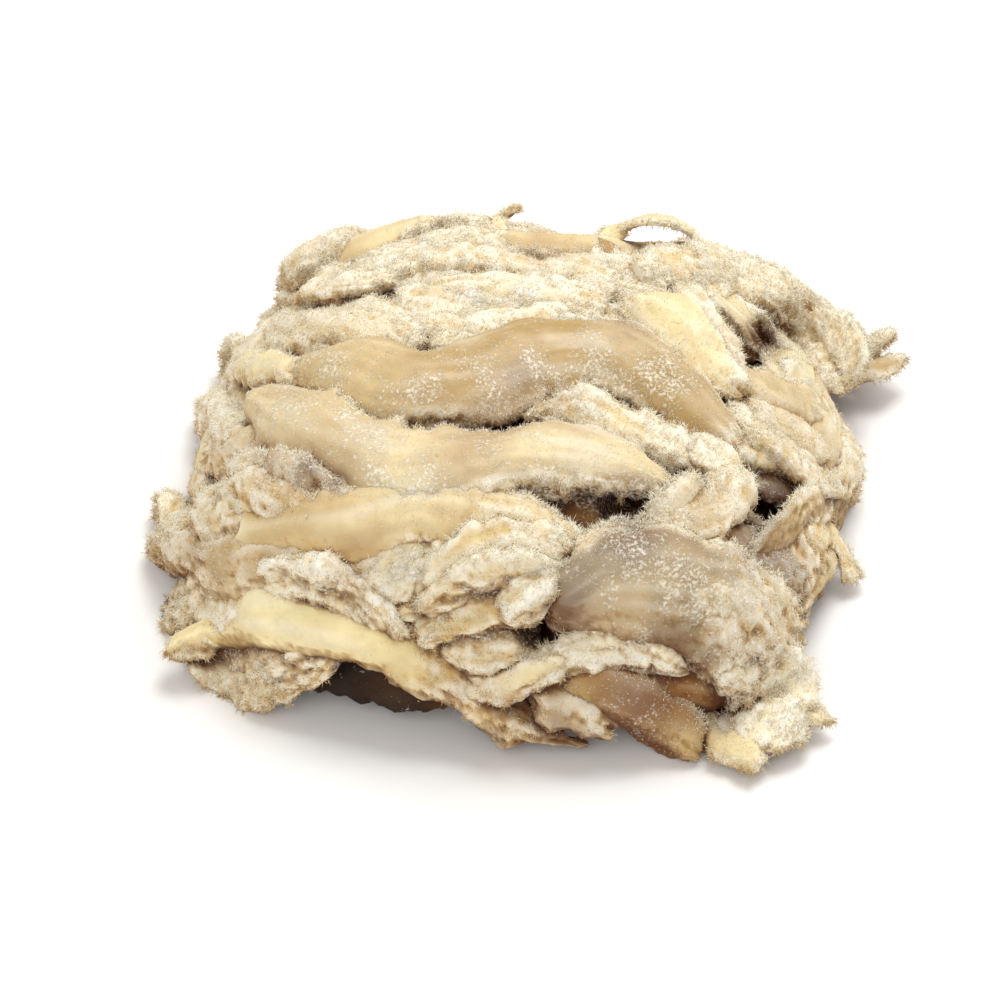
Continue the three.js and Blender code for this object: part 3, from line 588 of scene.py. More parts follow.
def section(width, thick, power, columns):
    """A superellipse's points round it from its underside, as shares of half the width and thickness.

    They are evenly spaced, but further apart underneath, where the strip lies on others.
    """
    angle = np.linspace(-math.pi / 2, 1.5 * math.pi, SECTION_SAMPLES)
    x = np.sign(np.cos(angle)) * np.abs(np.cos(angle)) ** (2 / power)
    y = np.sign(np.sin(angle)) * np.abs(np.sin(angle)) ** (2 / power)
    step = np.hypot(np.diff(x) * width, np.diff(y) * thick) / 2
    arc = np.concatenate([[0], np.cumsum(step)])
    density = between(UNDERSIDE_DENSITY, 1, smoothstep(*UNDERSIDE_END, y[1:]))
    weighted = np.concatenate([[0], np.cumsum(step * density)])
    places = np.linspace(0, weighted[-1], columns, endpoint=False)
    return np.interp(places, weighted, x), np.interp(places, weighted, y), np.interp(places, weighted, arc)


FEWEST_ROWS = 8
FEWEST_COLUMNS = 10
# Columns for each spacing of a strip's width and thickness together.
ROUND_DENSITY = 1.35
# Each strip reads the noise at a place of its own, this far off at most.
NOISE_REACH = 200
# A tip runs on past the middle line by so many half thicknesses, and is rounded over so many whole ones.
BLUNT_END = 0.6
ROUND_TIP = 0.55
TAPER_POWER = 3
# Slow noise along a strip: its size in millimetres and what it does.
SWAY = SimpleNamespace(size=26.0, reach=1.6, full_width=15)
SWELL = SimpleNamespace(size=18.0, share=0.13, finer=2.3, finer_share=0.5)
TWIST = SimpleNamespace(size=40.0, angle=0.3)


def strip_frame(path_points, look, spacing, rng):
    """A strip's middle line, what is along, across and out of it, and its half width and thickness.

    The half width and thickness are full in the middle, fall by a cube to each end's share and close by a
    quarter circle at each tip. Slow noise swells them, sways the line and twists it.
    """
    samples, distances = smooth_path(path_points)
    blunt = BLUNT_END * look.thick / 2
    length = distances[-1]
    rows = max(FEWEST_ROWS, round((length + 2 * blunt) / spacing)) + 2
    offset = rng.uniform(0, NOISE_REACH, 3)
    places = np.linspace(-blunt, length + blunt, rows)
    slow = np.stack([places, np.zeros(rows), np.zeros(rows)], axis=-1)
    middle = along_path(samples, distances, places)
    along = unit(np.gradient(middle, axis=0))
    across = unit(np.cross(mound_normal(middle[:, :2]), along))
    out = np.cross(along, across)
    roll = (look.roll + TWIST.angle * noise(slow / TWIST.size + 2 * offset))[:, None]
    across, out = across * np.cos(roll) + out * np.sin(roll), out * np.cos(roll) - across * np.sin(roll)
    share = np.clip(places / length, 0, 1)
    ends = np.where(share < 0.5, look.ends[0], look.ends[1])
    taper = 1 - (1 - ends) * np.abs(2 * share - 1) ** TAPER_POWER
    to_tip = np.minimum(places + blunt, length + blunt - places)
    cap = np.sqrt(np.clip(1 - (1 - np.clip(to_tip / (ROUND_TIP * look.thick), 0, 1)) ** 2, 0, 1))
    finer = SWELL.finer_share * noise(slow / SWELL.size * SWELL.finer - offset)
    swell = SWELL.share * (noise(slow / SWELL.size + offset) + finer)
    sway = SWAY.reach * min(1, look.width / SWAY.full_width) * noise(slow / SWAY.size - offset)
    return SimpleNamespace(
        offset=offset, places=places, share=share, to_tip=to_tip, cap=cap,
        middle=middle + across * sway[:, None], along=along, across=across, out=out,
        half_width=look.width / 2 * taper * cap * (1 + swell),
        half_thick=look.thick / 2 * np.sqrt(taper) * cap * (1 - swell))


# How far a strip is cupped, by chance where it is torn and evenly where it is smooth, and about which
# level. Then how much thicker one edge may be than the other, as a share.
CUP = SimpleNamespace(torn=0.6, smooth=0.3, level=0.4)
WEDGE = 0.35
# How steeply fluff and fray rise to the edge, and the second tone falls, as powers of the place across.
EDGE_POWER = 9
FRAY_POWER = 3
THIN_POWER = 2
# The relief of the flesh, with sizes and depths in millimetres. What is drawn out along the strip has a
# length, a width and a place of its own in the noise. A pair of depths is for smooth flesh and for torn.
LUMP = SimpleNamespace(size=19.0, depth=2.0, smooth_share=0.45)
CURD = SimpleNamespace(size=4.0, depth=0.55)
GRAIN = SimpleNamespace(size=1.9, depth=0.4)
LAYER = SimpleNamespace(size=12.0, depth=0.8, steps=2.5, bend=0.25, rise=(0.3, 0.7))
SHRED = SimpleNamespace(length=11.0, width=3.4, shift=0, depth=0.9, bend=0.7)
FOLD = SimpleNamespace(length=40.0, width=6.0, shift=0, sharpness=3, depth=(0.28, 0.7))
FIBRE = SimpleNamespace(length=18.0, width=1.9, shift=-30, depth=0.14)
FRAY = SimpleNamespace(length=4.5, width=18.0, shift=40, depth=1.5, smooth_share=0.45)
TEAR = SimpleNamespace(length=13.0, width=52.0, shift=20, depth=1.6)
RAGGED = SimpleNamespace(length=1000.0, width=6.0, shift=80, depth=3.5, reach=6.0)
# The thickness from which a strip has its full relief.
FULL_RELIEF = 9
# Where along a strip its fluff goes over from its first end's to its last's, as shares of its length.
FLUFF_CHANGE = (0.3, 0.9)
# How uneven the fluff is, on a smooth strip and on a torn one.
FLUFF_NOISE = SimpleNamespace(size=12.0, strength=(0.25, 0.45))
# The wavy line on the front face, below which it is fluffier.
FRONT_WAVE = SimpleNamespace(length=14.0, width=1000.0, shift=0, height=0.2, rise=(0.5, 0.72))
# The drifts of powder, and the clots that it forms in its patches.
DRIFT = SimpleNamespace(size=11.0, strength=0.45, finer=3, finer_share=0.6, edge=0.25)
CLOT = SimpleNamespace(size=4.0, share=0.35, level=0.6)
# The mottling with the second tone, the streaks along a strip and the tone of the torn faces' relief, which
# is darker on its low parts and creases and paler on its high parts: partly the faces' own tones, partly
# painted shade and light.
MOTTLE = SimpleNamespace(size=21.0, finer_size=6.0, finer_share=0.4, level=0.5, rise=(-0.2, 0.9), share=0.8)
STREAK = SimpleNamespace(length=34.0, width=5.0, shift=60, dark=0.2, pale=0.3, rise=(0.05, 0.6))
TORN_FACE = SimpleNamespace(curd=0.6, shred=0.8, grain=0.5, crease=0.5, rise=(-1.1, 0.3))
CHALK_RISE = (0.3, 0.85)


def drawn_out(lay, kind, bend=0.0):
    """Noise drawn out along a strip to a kind's length and width, at the kind's own place in the noise."""
    return noise(lay / [kind.length, kind.width, 1] + kind.shift + bend)


def layers(values):
    """Values in steps, with a steep rise from each whole number to the next."""
    whole = np.floor(values)
    return whole + smoothstep(*LAYER.rise, values - whole)


def fluff_and_frost(grid, look):
    """How fluffy each point of a strip is and how much powder lies on it, from 0 to 1.

    Fluff goes over from the first end's to the last's. The edges and ends add to it, and so does the front
    face below a wavy line. Noise and the patches of powder add to both.
    """
    fluff = between(*look.fluff, smoothstep(*FLUFF_CHANGE, grid.share))
    fluff = fluff + EDGE_FLUFF.get(look.tone, USUAL_EDGE_FLUFF) * np.maximum(grid.edge, grid.end)
    front = grid.front + FRONT_WAVE.height * drawn_out(grid.lay, FRONT_WAVE)
    fluff = fluff + FACE_FLUFF.get(look.tone, 0) * smoothstep(*FRONT_WAVE.rise, front)
    uneven = noise(grid.points / FLUFF_NOISE.size + grid.offset)
    fluff = fluff + between(*FLUFF_NOISE.strength, grid.torn) * uneven
    drift = noise(grid.points / DRIFT.size - grid.offset)
    finer = noise(grid.points / DRIFT.size * DRIFT.finer + grid.offset)
    frost = FROST.get(look.tone, USUAL_FROST) + DRIFT.strength * drift
    frost = frost + DRIFT.finer_share * DRIFT.strength * finer + DRIFT.edge * grid.edge
    clots = CLOT.share * (CLOT.level + noise(grid.points / CLOT.size - grid.offset))
    for middle, radius, share in POWDER:
        here = share * near(grid.places, middle, radius)
        frost = frost + here
        fluff = fluff + here * clots
    return np.clip(fluff, 0, 1), np.clip(frost, 0, 1)


def torn_texture(grid):
    """Noise of torn flesh: curds and grain in space, and shreds and creases drawn out along the strip."""
    curd = noise(grid.points / CURD.size + grid.offset)
    return SimpleNamespace(
        curd=curd, shred=drawn_out(grid.lay, SHRED, SHRED.bend * curd[:, None]),
        grain=noise(grid.points / GRAIN.size - grid.offset),
        crease=np.clip(1 - FOLD.sharpness * np.abs(drawn_out(grid.lay, FOLD)), 0, 1))


def strip_relief(grid, texture, fluff):
    """How far out the relief moves a strip's points.

    Lumps and fibres are everywhere. Curds, shreds, grain and stepped layers grow with the fluff, and
    creases go in.
    """
    lump = noise(grid.points / LUMP.size + grid.offset)
    relief = LUMP.depth * between(LUMP.smooth_share, 1, grid.torn) * lump
    rough = CURD.depth * texture.curd + SHRED.depth * texture.shred + GRAIN.depth * texture.grain
    relief += fluff * rough
    steps = noise(grid.points / LAYER.size + LAYER.bend * texture.curd[:, None] - grid.offset)
    relief += fluff * LAYER.depth * layers(LAYER.steps * steps)
    relief -= between(*FOLD.depth, fluff) * texture.crease
    return relief + FIBRE.depth * drawn_out(grid.lay, FIBRE)


def strip_flesh(grid, points, texture, fluff, look, colours):
    """A strip's colours.

    Noise mottles the main tone with the second, most along the middle, and dark and pale streaks run along
    it. The fluffy parts take on the torn faces' tones, darker on the low parts and creases of the relief
    and
    paler on its high parts: partly their own tones, partly painted shade and light. Patches of other tones
    come last, some of them painted shade.
    """
    main, second = (np.array(getattr(colours, key)) for key in TONES[look.tone])
    mottle = noise(points / MOTTLE.size + grid.offset)
    mottle = mottle + MOTTLE.finer_share * noise(points / MOTTLE.finer_size - grid.offset)
    mottle = mottle + MOTTLE.level - np.abs(grid.across) ** THIN_POWER
    flesh = towards(main, second, MOTTLE.share * smoothstep(*MOTTLE.rise, mottle))
    if look.tone != "shade":
        streak = drawn_out(grid.lay, STREAK)
        flesh = towards(flesh, colours.brown, STREAK.dark * smoothstep(*STREAK.rise, streak))
        flesh = towards(flesh, colours.pale, STREAK.pale * smoothstep(*STREAK.rise, -streak))
    # Painted shade and light, in part: low parts and creases of the relief take the darker colour and high
    # parts the paler one.
    low, high = (colours.cream, colours.white) if look.tone == "white" else (colours.torn, colours.pale)
    rise = TORN_FACE.curd * texture.curd + TORN_FACE.shred * texture.shred + TORN_FACE.grain * texture.grain
    rise = rise - TORN_FACE.crease * texture.crease
    torn_flesh = towards(np.array(low), high, smoothstep(*TORN_FACE.rise, rise))
    flesh = towards(flesh, torn_flesh, CHALK.get(look.tone, USUAL_CHALK) * smoothstep(*CHALK_RISE, fluff))
    for middle, radius, key, share in PATCHES:
        flesh = towards(flesh, getattr(colours, key), share * near(grid.places, middle, radius))
    return flesh


def strip_surface(path_points, look, spacing, colours, rng):
    """One torn strip.

    A superelliptic section is carried along the strip's frame. It is cupped by the square of the place
    across, and thicker at one edge than the other. The relief moves it along the section's normal, its
    edges fray outwards and its ends are drawn out raggedly.
    """
    line = strip_frame(path_points, look, spacing, rng)
    columns = max(FEWEST_COLUMNS, round(ROUND_DENSITY * (look.width + look.thick) / spacing))
    rows = len(line.places)
    torn = np.mean(look.fluff)
    power = between(ROUND_POWER, FLAT_POWER, torn)
    cup = rng.uniform(-CUP.torn, CUP.torn) * torn + CUP.smooth * (1 - torn)
    wedge = rng.uniform(-WEDGE, WEDGE)
    x, y, arc = section(look.width, look.thick, power, columns)
    cupped = line.half_thick[:, None] * (y * (1 + wedge * x) - cup * (x ** 2 - CUP.level))
    body = (line.middle[:, None] + line.across[:, None] * (line.half_width[:, None] * x)[..., None]
            + line.out[:, None] * cupped[..., None])
    edgeways = np.sign(x) * np.abs(x) ** (power - 1) / look.width
    upwards = np.sign(y) * np.abs(y) ** (power - 1) / look.thick
    outwards = line.across[:, None] * edgeways[None, :, None] + line.out[:, None] * upwards[None, :, None]
    normal = unit(outwards).reshape(-1, 3)

    points = body.reshape(-1, 3)
    lay = np.stack([np.repeat(line.places, columns), np.tile(arc, rows), np.zeros(len(points))], axis=-1)
    grid = SimpleNamespace(
        points=points, places=view_place(points), lay=lay + line.offset, offset=line.offset, torn=torn,
        across=np.tile(x, rows), edge=np.tile(np.abs(x) ** EDGE_POWER, rows),
        front=(-line.across[:, 1:2] * x).ravel(), share=np.repeat(line.share, columns),
        end=np.repeat(np.exp(-line.to_tip / RAGGED.reach), columns))
    fluff, frost = fluff_and_frost(grid, look)
    texture = torn_texture(grid)
    small = min(1, look.thick / FULL_RELIEF)
    size = small * np.repeat(line.cap, columns)
    fray = FRAY.depth * drawn_out(grid.lay, FRAY) * between(FRAY.smooth_share, 1, fluff)
    fray = (fray + TEAR.depth * drawn_out(grid.lay, TEAR)) * np.abs(grid.across) ** FRAY_POWER
    ragged = RAGGED.depth * drawn_out(grid.lay, RAGGED) * grid.end
    points = points + normal * (size * strip_relief(grid, texture, fluff))[:, None]
    fray = size * fray * np.sign(grid.across)
    points = points + np.repeat(line.across, columns, axis=0) * fray[:, None]
    points = points + np.repeat(line.along, columns, axis=0) * (ragged * small)[:, None]
    flesh = strip_flesh(grid, points, texture, fluff, look, colours)
    if look.hollowed:
        points = dented(points)
    quads, triangles = tube_faces(rows - 2, columns)
    fields = {"points": points, "fluff": fluff, "frost": frost, "flesh": flesh, "lay": grid.lay}
    fields = {key: with_poles(values, columns) for key, values in fields.items()}
    return SimpleNamespace(quads=quads, triangles=triangles, **fields)


def with_poles(values, columns):
    """Values of a tube's rows, with the first and the last row drawn together to a pole each."""
    first = values[:columns].mean(axis=0, keepdims=True)
    last = values[-columns:].mean(axis=0, keepdims=True)
    return np.concatenate([first, values[columns:-columns], last])


# The strands of a fluffy strip. Their usual width is before they lap, spacing and gap are along the strip,
# and first, last and full are shares of its length. Spread, slant, rise, droop and thick are shares of its
# width or thickness.
STRAND = SimpleNamespace(
    width=9.5, lap=2.0, spacing=2.0, gap=12, first=(-0.02, 0.16), last=(0.84, 1.02), full=(0.25, 0.75),
    spread=0.85, slant=0.14, rise=(0.02, 0.26), droop=0.2, thick=0.62, variety=(0.85, 1.15), roll=0.3,
    ends=(0.4, 0.75))
FEWEST_STRAND_POINTS = 4


def strands(points, look, rng):
    """The middle lines and looks of the strands that a fluffy strip is torn into, side by side along it.

    Each is a share of the strip's width and laps its neighbours. It starts and ends a little short of the
    strip or beyond it, and slants, lies higher or lower, and rolls, all by chance.
    """
    count = round(look.width / STRAND.width)
    if count < 2:
        return [(points, look)]
    line = strip_frame(points, look, STRAND.spacing, rng)
    length = line.places[-1]
    made = []
    for index in range(count):
        first = rng.uniform(*STRAND.first) * length
        last = rng.uniform(*STRAND.last) * length
        places = np.linspace(first, last, max(FEWEST_STRAND_POINTS, round(length / STRAND.gap)))
        at = np.stack([np.interp(places, line.places, line.middle[:, k]) for k in range(3)], axis=-1)
        row = np.searchsorted(line.places, places).clip(1, len(line.places) - 2)
        slant = rng.uniform(-STRAND.slant, STRAND.slant) * np.linspace(-1, 1, len(places))
        taper = np.interp(places / length, (0, *STRAND.full, 1), (look.ends[0], 1, 1, look.ends[1]))
        aside = (STRAND.spread * ((index + 0.5) / count - 0.5) + slant) * look.width * taper
        droop = STRAND.droop * look.thick * (2 * aside / look.width) ** 2
        rise = rng.uniform(*STRAND.rise) * look.thick - droop
        at = at + line.across[row] * aside[:, None] + line.out[row] * rise[:, None]
        strand = SimpleNamespace(**vars(look))
        strand.width = STRAND.lap * look.width / count * rng.uniform(*STRAND.variety)
        strand.thick = STRAND.thick * look.thick * rng.uniform(*STRAND.variety)
        strand.roll = look.roll + rng.uniform(-STRAND.roll, STRAND.roll)
        strand.ends = (rng.uniform(*STRAND.ends), rng.uniform(*STRAND.ends))
        made.append((at, strand))
    return made


# The core: how far inside the mound it is, its rings and spokes and where the last ring is, its curds as
# sizes and heights, how high up they are full, and its mottling.
CORE = SimpleNamespace(
    inset=11.0, rings=48, spokes=200, last_ring=0.01, curds=((9, 1.8), (4, 1.2)), full_curds=4,
    mottle_size=14, mottle_rise=(-0.3, 0.6), fluff=0.8, frost=0.2)


def core_surface(colours):
    """The core: the inset mound on rings and spokes, with curds of noise and a flat foot."""
    share = np.sin(np.linspace(0.5 * math.pi, CORE.last_ring, CORE.rings))
    bearing = np.linspace(0, 2 * math.pi, CORE.spokes, endpoint=False)
    ground = mound_point(np.tile(bearing, CORE.rings), np.repeat(share, CORE.spokes), CORE.inset)
    top = np.column_stack([ground, mound_height(ground, CORE.inset)])
    curds = sum(height * noise(top / size) for size, height in CORE.curds)
    top = top + mound_normal(ground) * (curds * np.minimum(1, top[:, 2] / CORE.full_curds))[:, None]
    top = dented(top)
    top[:, 2] = np.maximum(top[:, 2], 0)
    points = np.concatenate([[[*MOUND.middle, 0]], top, [[*MOUND.middle, MOUND.height - CORE.inset]]])
    quads, triangles = tube_faces(CORE.rings, CORE.spokes)
    mottle = smoothstep(*CORE.mottle_rise, noise(points / CORE.mottle_size))
    flesh = towards(np.array(colours.cream), colours.brown, mottle)
    return SimpleNamespace(
        points=points, quads=quads, triangles=triangles, fluff=np.full(len(points), CORE.fluff),
        frost=np.full(len(points), CORE.frost), flesh=flesh, lay=points)


def back_lines():
    """The middle lines of the strips round the back, course by course."""
    steps = np.array(BACK_STEPS)
    for course in BACK_COURSES:
        for index in range(course.count):
            bearing = math.radians(course.first + (course.last - course.first) * index / (course.count - 1))
            slant = BACK_STRIP.slant * math.sin(BACK_STRIP.variety * index + course.lowest)
            bow = BACK_STRIP.bow * math.cos(BACK_STRIP.variety * index + course.lowest)
            bearings = bearing + steps * BACK_STRIP.length / (2 * MOUND.half_length)
            ground = mound_point(bearings, course.share + slant * steps - bow * steps ** 2)
            height = np.maximum(BACK_STRIP.sunk * mound_height(ground), course.lowest)
            yield np.column_stack([ground, height])


# The small flakes: shares of the way out, sizes, the spread of their headings and rolls, and their depth.
FLAKE = SimpleNamespace(
    reach=0.98, inner=0.02, furthest=0.985, points=4, length=(16, 38), width=(6, 13), thick=(0.45, 0.7),
    heading=0.5, jitter=1.5, roll=0.4, sunk=(-9, -3), lowest=3, fluff=(0.4, 1), ends=(0.5, 0.4))
# How likely a flake is to have each tone.
FLAKE_TONES = {"cream": 0.42, "white": 0.16, "tan": 0.16, "amber": 0.1, "honey": 0.1, "brown": 0.06}
# Flakes keep this many radii clear of a hollow's middle.
FLAKE_CLEARANCE = 1.3


def flake(rng):
    """The middle line and look of a small flake, by chance: a short, wavering line that lies sunk in."""
    bearing = rng.uniform(0, 2 * math.pi)
    share = FLAKE.reach * math.sqrt(rng.uniform(FLAKE.inner, 1))
    middle = mound_point(np.array([bearing]), share)[0]
    length = rng.uniform(*FLAKE.length)
    width = rng.uniform(*FLAKE.width)
    heading = rng.normal(0, FLAKE.heading)
    steps = np.linspace(-0.5, 0.5, FLAKE.points)[:, None] * length
    ground = middle + steps * [math.cos(heading), math.sin(heading)]
    ground = ground + rng.normal(0, FLAKE.jitter, (FLAKE.points, 2))
    inwards = np.minimum(1, FLAKE.furthest / mound_share(ground))[:, None]
    ground = MOUND.middle + (ground - MOUND.middle) * inwards
    height = np.maximum(mound_height(ground) + rng.uniform(*FLAKE.sunk), FLAKE.lowest)
    tone = rng.choice(list(FLAKE_TONES), p=list(FLAKE_TONES.values()))
    fluff = (rng.uniform(*FLAKE.fluff), rng.uniform(*FLAKE.fluff))
    thick = rng.uniform(*FLAKE.thick) * width
    look = SimpleNamespace(tone=tone, fluff=fluff, width=width, thick=thick, roll=rng.normal(0, FLAKE.roll),
                           ends=FLAKE.ends, hollowed=True)
    return np.column_stack([ground, height]), look


def over_hollow(points):
    """Whether any of the points is in front of a hollow, as seen in the view."""
    places = view_place(points)
    return any((np.linalg.norm(places - middle[:2], axis=1) < FLAKE_CLEARANCE * radius).any()
               for middle, radius in HOLLOWS)


# Meshes

def add_piece(name, surface, material):
    """A surface as a mesh object in place of the heap's solid, with what each point has as attributes."""
    mesh = bpy.data.meshes.new(name)
    corners = np.concatenate([surface.quads.ravel(), surface.triangles.ravel()])
    sizes = np.concatenate([np.full(len(surface.quads), 4), np.full(len(surface.triangles), 3)])
    mesh.vertices.add(len(surface.points))
    mesh.loops.add(len(corners))
    mesh.polygons.add(len(sizes))
    points = surface.points * MM
    points[:, 2] = np.maximum(points[:, 2], 0)
    mesh.vertices.foreach_set("co", points.ravel())
    mesh.loops.foreach_set("vertex_index", corners)
    mesh.polygons.foreach_set("loop_start", np.cumsum(sizes) - sizes)
    mesh.update(calc_edges=True)
    mesh.shade_smooth()
    set_attribute(mesh, "fluff", "FLOAT", "value", surface.fluff)
    set_attribute(mesh, "frost", "FLOAT", "value", surface.frost)
    flesh = np.column_stack([surface.flesh, np.ones(len(points))])
    set_attribute(mesh, "flesh", "FLOAT_COLOR", "color", flesh)
    set_attribute(mesh, "lay", "FLOAT_VECTOR", "vector", surface.lay * MM)
    set_attribute(mesh, "exposed", "FLOAT", "value", np.ones(len(points)))
    mesh.materials.append(material)
    piece = bpy.data.objects.new(name, mesh)
    bpy.context.scene.collection.objects.link(piece)
    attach(piece, BODY)
    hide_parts(NODE)
    return piece


def add_flesh(name, surfaces):
    """Surfaces of flesh as one piece."""
    add_piece(name, joined(surfaces), material_of(FLESH_MATERIAL, dried_flesh))


def set_attribute(mesh, name, kind, field, values):
    """Puts values into a mesh's point attribute, which is added if it isn't there."""
    attribute = mesh.attributes.get(name) or mesh.attributes.new(name, kind, "POINT")
    attribute.data.foreach_set(field, np.ascontiguousarray(values, dtype=np.float32).ravel())


def numbers_of(items, field, width):
    """A field of mesh items as an array (n, width)."""
    values = np.empty(len(items) * width, dtype=np.float32)
    items.foreach_get(field, values)
    return values.reshape(-1, width)


# Materials

def add_node(tree, kind, links=None, **settings):
    """A node with its settings. Links name or number an input, with a socket to link or a value to set."""
    made = tree.nodes.new(kind)
    for name, value in settings.items():
        setattr(made, name, value)
    for key, value in (links or {}).items():
        if isinstance(value, bpy.types.NodeSocket):
            tree.links.new(value, made.inputs[key])
        else:
            made.inputs[key].default_value = value
    return made


def new_material(name):
    """An empty node material, and its tree."""
    material = bpy.data.materials.new(name)
    material.use_nodes = True
    material.node_tree.nodes.clear()
    return material, material.node_tree


def material_of(name, make):
    """The material of that name, made the first time that it is asked for."""
    return bpy.data.materials.get(name) or make()


def per_mm(size):
    """A pattern's scale on metre coordinates, for features of a size in millimetres."""
    return 1 / (size * MM)


FLESH_MATERIAL = "torn dried pollock flesh"
FIBRE_MATERIAL = "loose dried fibre"
# The attributes that the flesh reads, and the outputs that give them.
FLESH_ATTRIBUTES = (
    ("flesh", "Color"), ("fluff", "Fac"), ("frost", "Fac"), ("exposed", "Fac"), ("lay", "Vector"))


def dried_flesh():
    """Torn, air-dried pollock: matt, dense fibre that light enters a little way.

    The eye sees long fibres along the strip, cloudy tone, waxy outer faces, chalky torn ones and salt.
    """
    colours = bpy.context.scene.pollock_colours
    material, tree = new_material(FLESH_MATERIAL)
    place = add_node(tree, "ShaderNodeTexCoord").outputs["Object"]
    flesh, fluff, frost, exposed, lay = (
        add_node(tree, "ShaderNodeAttribute", attribute_name=name).outputs[socket]
        for name, socket in FLESH_ATTRIBUTES)

    # Fibres 0.8 mm apart that run on for 12 mm.
    drawn = add_node(tree, "ShaderNodeMapping", {
        "Vector": lay, "Scale": (per_mm(12), per_mm(0.8), 1)}).outputs[0]
    fibres = add_node(tree, "ShaderNodeTexNoise", {"Vector": drawn, "Scale": 1.0, "Detail": 3.0}).outputs[0]
    # Cloudy tone about 4 mm across.
    cloud = add_node(tree, "ShaderNodeTexNoise", {
        "Vector": place, "Scale": per_mm(4), "Detail": 4.0}).outputs[0]
    # Grain of the torn faces, about 0.7 mm.
    grain = add_node(tree, "ShaderNodeTexNoise", {
        "Vector": place, "Scale": per_mm(0.7), "Detail": 2.0}).outputs[0]

    # A map range's inputs are the value, the range that it comes from and the range that it goes to. A
    # mix's first is the share, and the others are what is mixed.
    streaks = add_node(tree, "ShaderNodeMapRange", {0: fibres, 1: 0.0, 2: 1.0, 3: 0.41, 4: 0.59}).outputs[0]
    tone = add_node(tree, "ShaderNodeMath", {0: streaks, 1: cloud}, operation="ADD").outputs[0]
    shade = add_node(tree, "ShaderNodeMapRange", {0: tone, 1: 0.7, 2: 1.3, 3: 0.9, 4: 1.08}).outputs[0]
    toned = add_node(tree, "ShaderNodeVectorMath", {0: flesh, 3: shade}, operation="SCALE").outputs[0]
    # Painted shade: flesh that sees little of the sky is darkened, to no paler than the dark gap colour.
    depth = add_node(tree, "ShaderNodeMapRange", {0: exposed, 1: 0.4, 2: 0.08, 3: 0.0, 4: 0.9}).outputs[0]
    gap_shade = add_node(tree, "ShaderNodeMix", {0: depth, 6: toned, 7: (*colours.gap_shade, 1)}, data_type="RGBA",
                    blend_type="DARKEN").outputs[2]

    # Powder: specks about a millimetre across that break up, more of them where there is more frost.
    powder = add_node(tree, "ShaderNodeTexNoise", {
        "Vector": place, "Scale": per_mm(1.0), "Detail": 5.0, "Roughness": 0.65}).outputs[0]
    bare = add_node(tree, "ShaderNodeMapRange", {0: frost, 1: 0.0, 2: 1.0, 3: 0.68, 4: 0.44}).outputs[0]
    full = add_node(tree, "ShaderNodeMath", {0: bare, 1: 0.13}, operation="ADD").outputs[0]
    salt = add_node(tree, "ShaderNodeMapRange", {0: powder, 1: bare, 2: full, 3: 0.0, 4: 0.65}).outputs[0]
    salted = add_node(tree, "ShaderNodeMix", {
        0: salt, 6: gap_shade, 7: (*colours.salt, 1)}, data_type="RGBA").outputs[2]

    # Smooth flesh is waxy with faint fibres, and torn flesh is matt and grainy. Powder stands on both.
    rough = add_node(tree, "ShaderNodeMapRange", {0: fluff, 1: 0.1, 2: 0.7, 3: 0.5, 4: 0.9}).outputs[0]
    faint = add_node(tree, "ShaderNodeMath", {0: streaks, 1: 0.4}, operation="MULTIPLY").outputs[0]
    rise = add_node(tree, "ShaderNodeMix", {0: fluff, 2: faint, 3: grain}).outputs[0]
    raised = add_node(tree, "ShaderNodeMath", {0: rise, 1: salt}, operation="ADD").outputs[0]
    bump = add_node(tree, "ShaderNodeBump", {
        "Height": raised, "Strength": 0.6, "Distance": 0.6 * MM}).outputs[0]
    shader = add_node(tree, "ShaderNodeBsdfPrincipled", {
        "Base Color": salted, "Roughness": rough, "Normal": bump, "IOR": 1.42, "Specular IOR Level": 0.35,
        "Subsurface Weight": 0.35, "Subsurface Radius": (1.0, 0.9, 0.8), "Subsurface Scale": 1.5 * MM})
    add_node(tree, "ShaderNodeOutputMaterial", {"Surface": shader.outputs[0]})
    return material


def loose_fibre():
    """Loose muscle fibre: dry and nearly white, with the tone of the flesh showing at its root."""
    material, tree = new_material(FIBRE_MATERIAL)
    flesh = add_node(tree, "ShaderNodeAttribute", attribute_name="flesh").outputs["Color"]
    place = add_node(tree, "ShaderNodeTexCoord").outputs["Object"]
    # Cloudy tone about 3 mm across.
    cloud = add_node(tree, "ShaderNodeTexNoise", {
        "Vector": place, "Scale": per_mm(3), "Detail": 2.0}).outputs[0]
    shade = add_node(tree, "ShaderNodeMapRange", {0: cloud, 1: 0.3, 2: 0.7, 3: 0.92, 4: 1.06}).outputs[0]
    toned = add_node(tree, "ShaderNodeVectorMath", {0: flesh, 3: shade}, operation="SCALE").outputs[0]
    shader = add_node(tree, "ShaderNodeBsdfPrincipled", {
        "Base Color": toned, "Roughness": 0.8, "IOR": 1.4, "Specular IOR Level": 0.2})
    add_node(tree, "ShaderNodeOutputMaterial", {"Surface": shader.outputs[0]})
    return material


def floor_paper():
    """Matt white paper: a plain pale sweep with the faintest cloud in it."""
    material, tree = new_material("matt white paper")
    place = add_node(tree, "ShaderNodeTexCoord").outputs["Object"]
    cloud = add_node(tree, "ShaderNodeTexNoise", {"Vector": place, "Scale": 2.0}).outputs[0]
    tint = add_node(tree, "ShaderNodeMix", {
        0: cloud, 6: (*linear("#F4F4F4"), 1), 7: (*linear("#F7F7F7"), 1)}, data_type="RGBA")
    shader = add_node(tree, "ShaderNodeBsdfPrincipled", {"Base Color": tint.outputs[2], "Roughness": 0.8})
    add_node(tree, "ShaderNodeOutputMaterial", {"Surface": shader.outputs[0]})
    return material


# The loose fibres, and how much sky there is for them

STRIP_PIECES = ("smooth_strips", "fluffy_strips", "thin_strips", "back_strips", "small_flakes", "core")


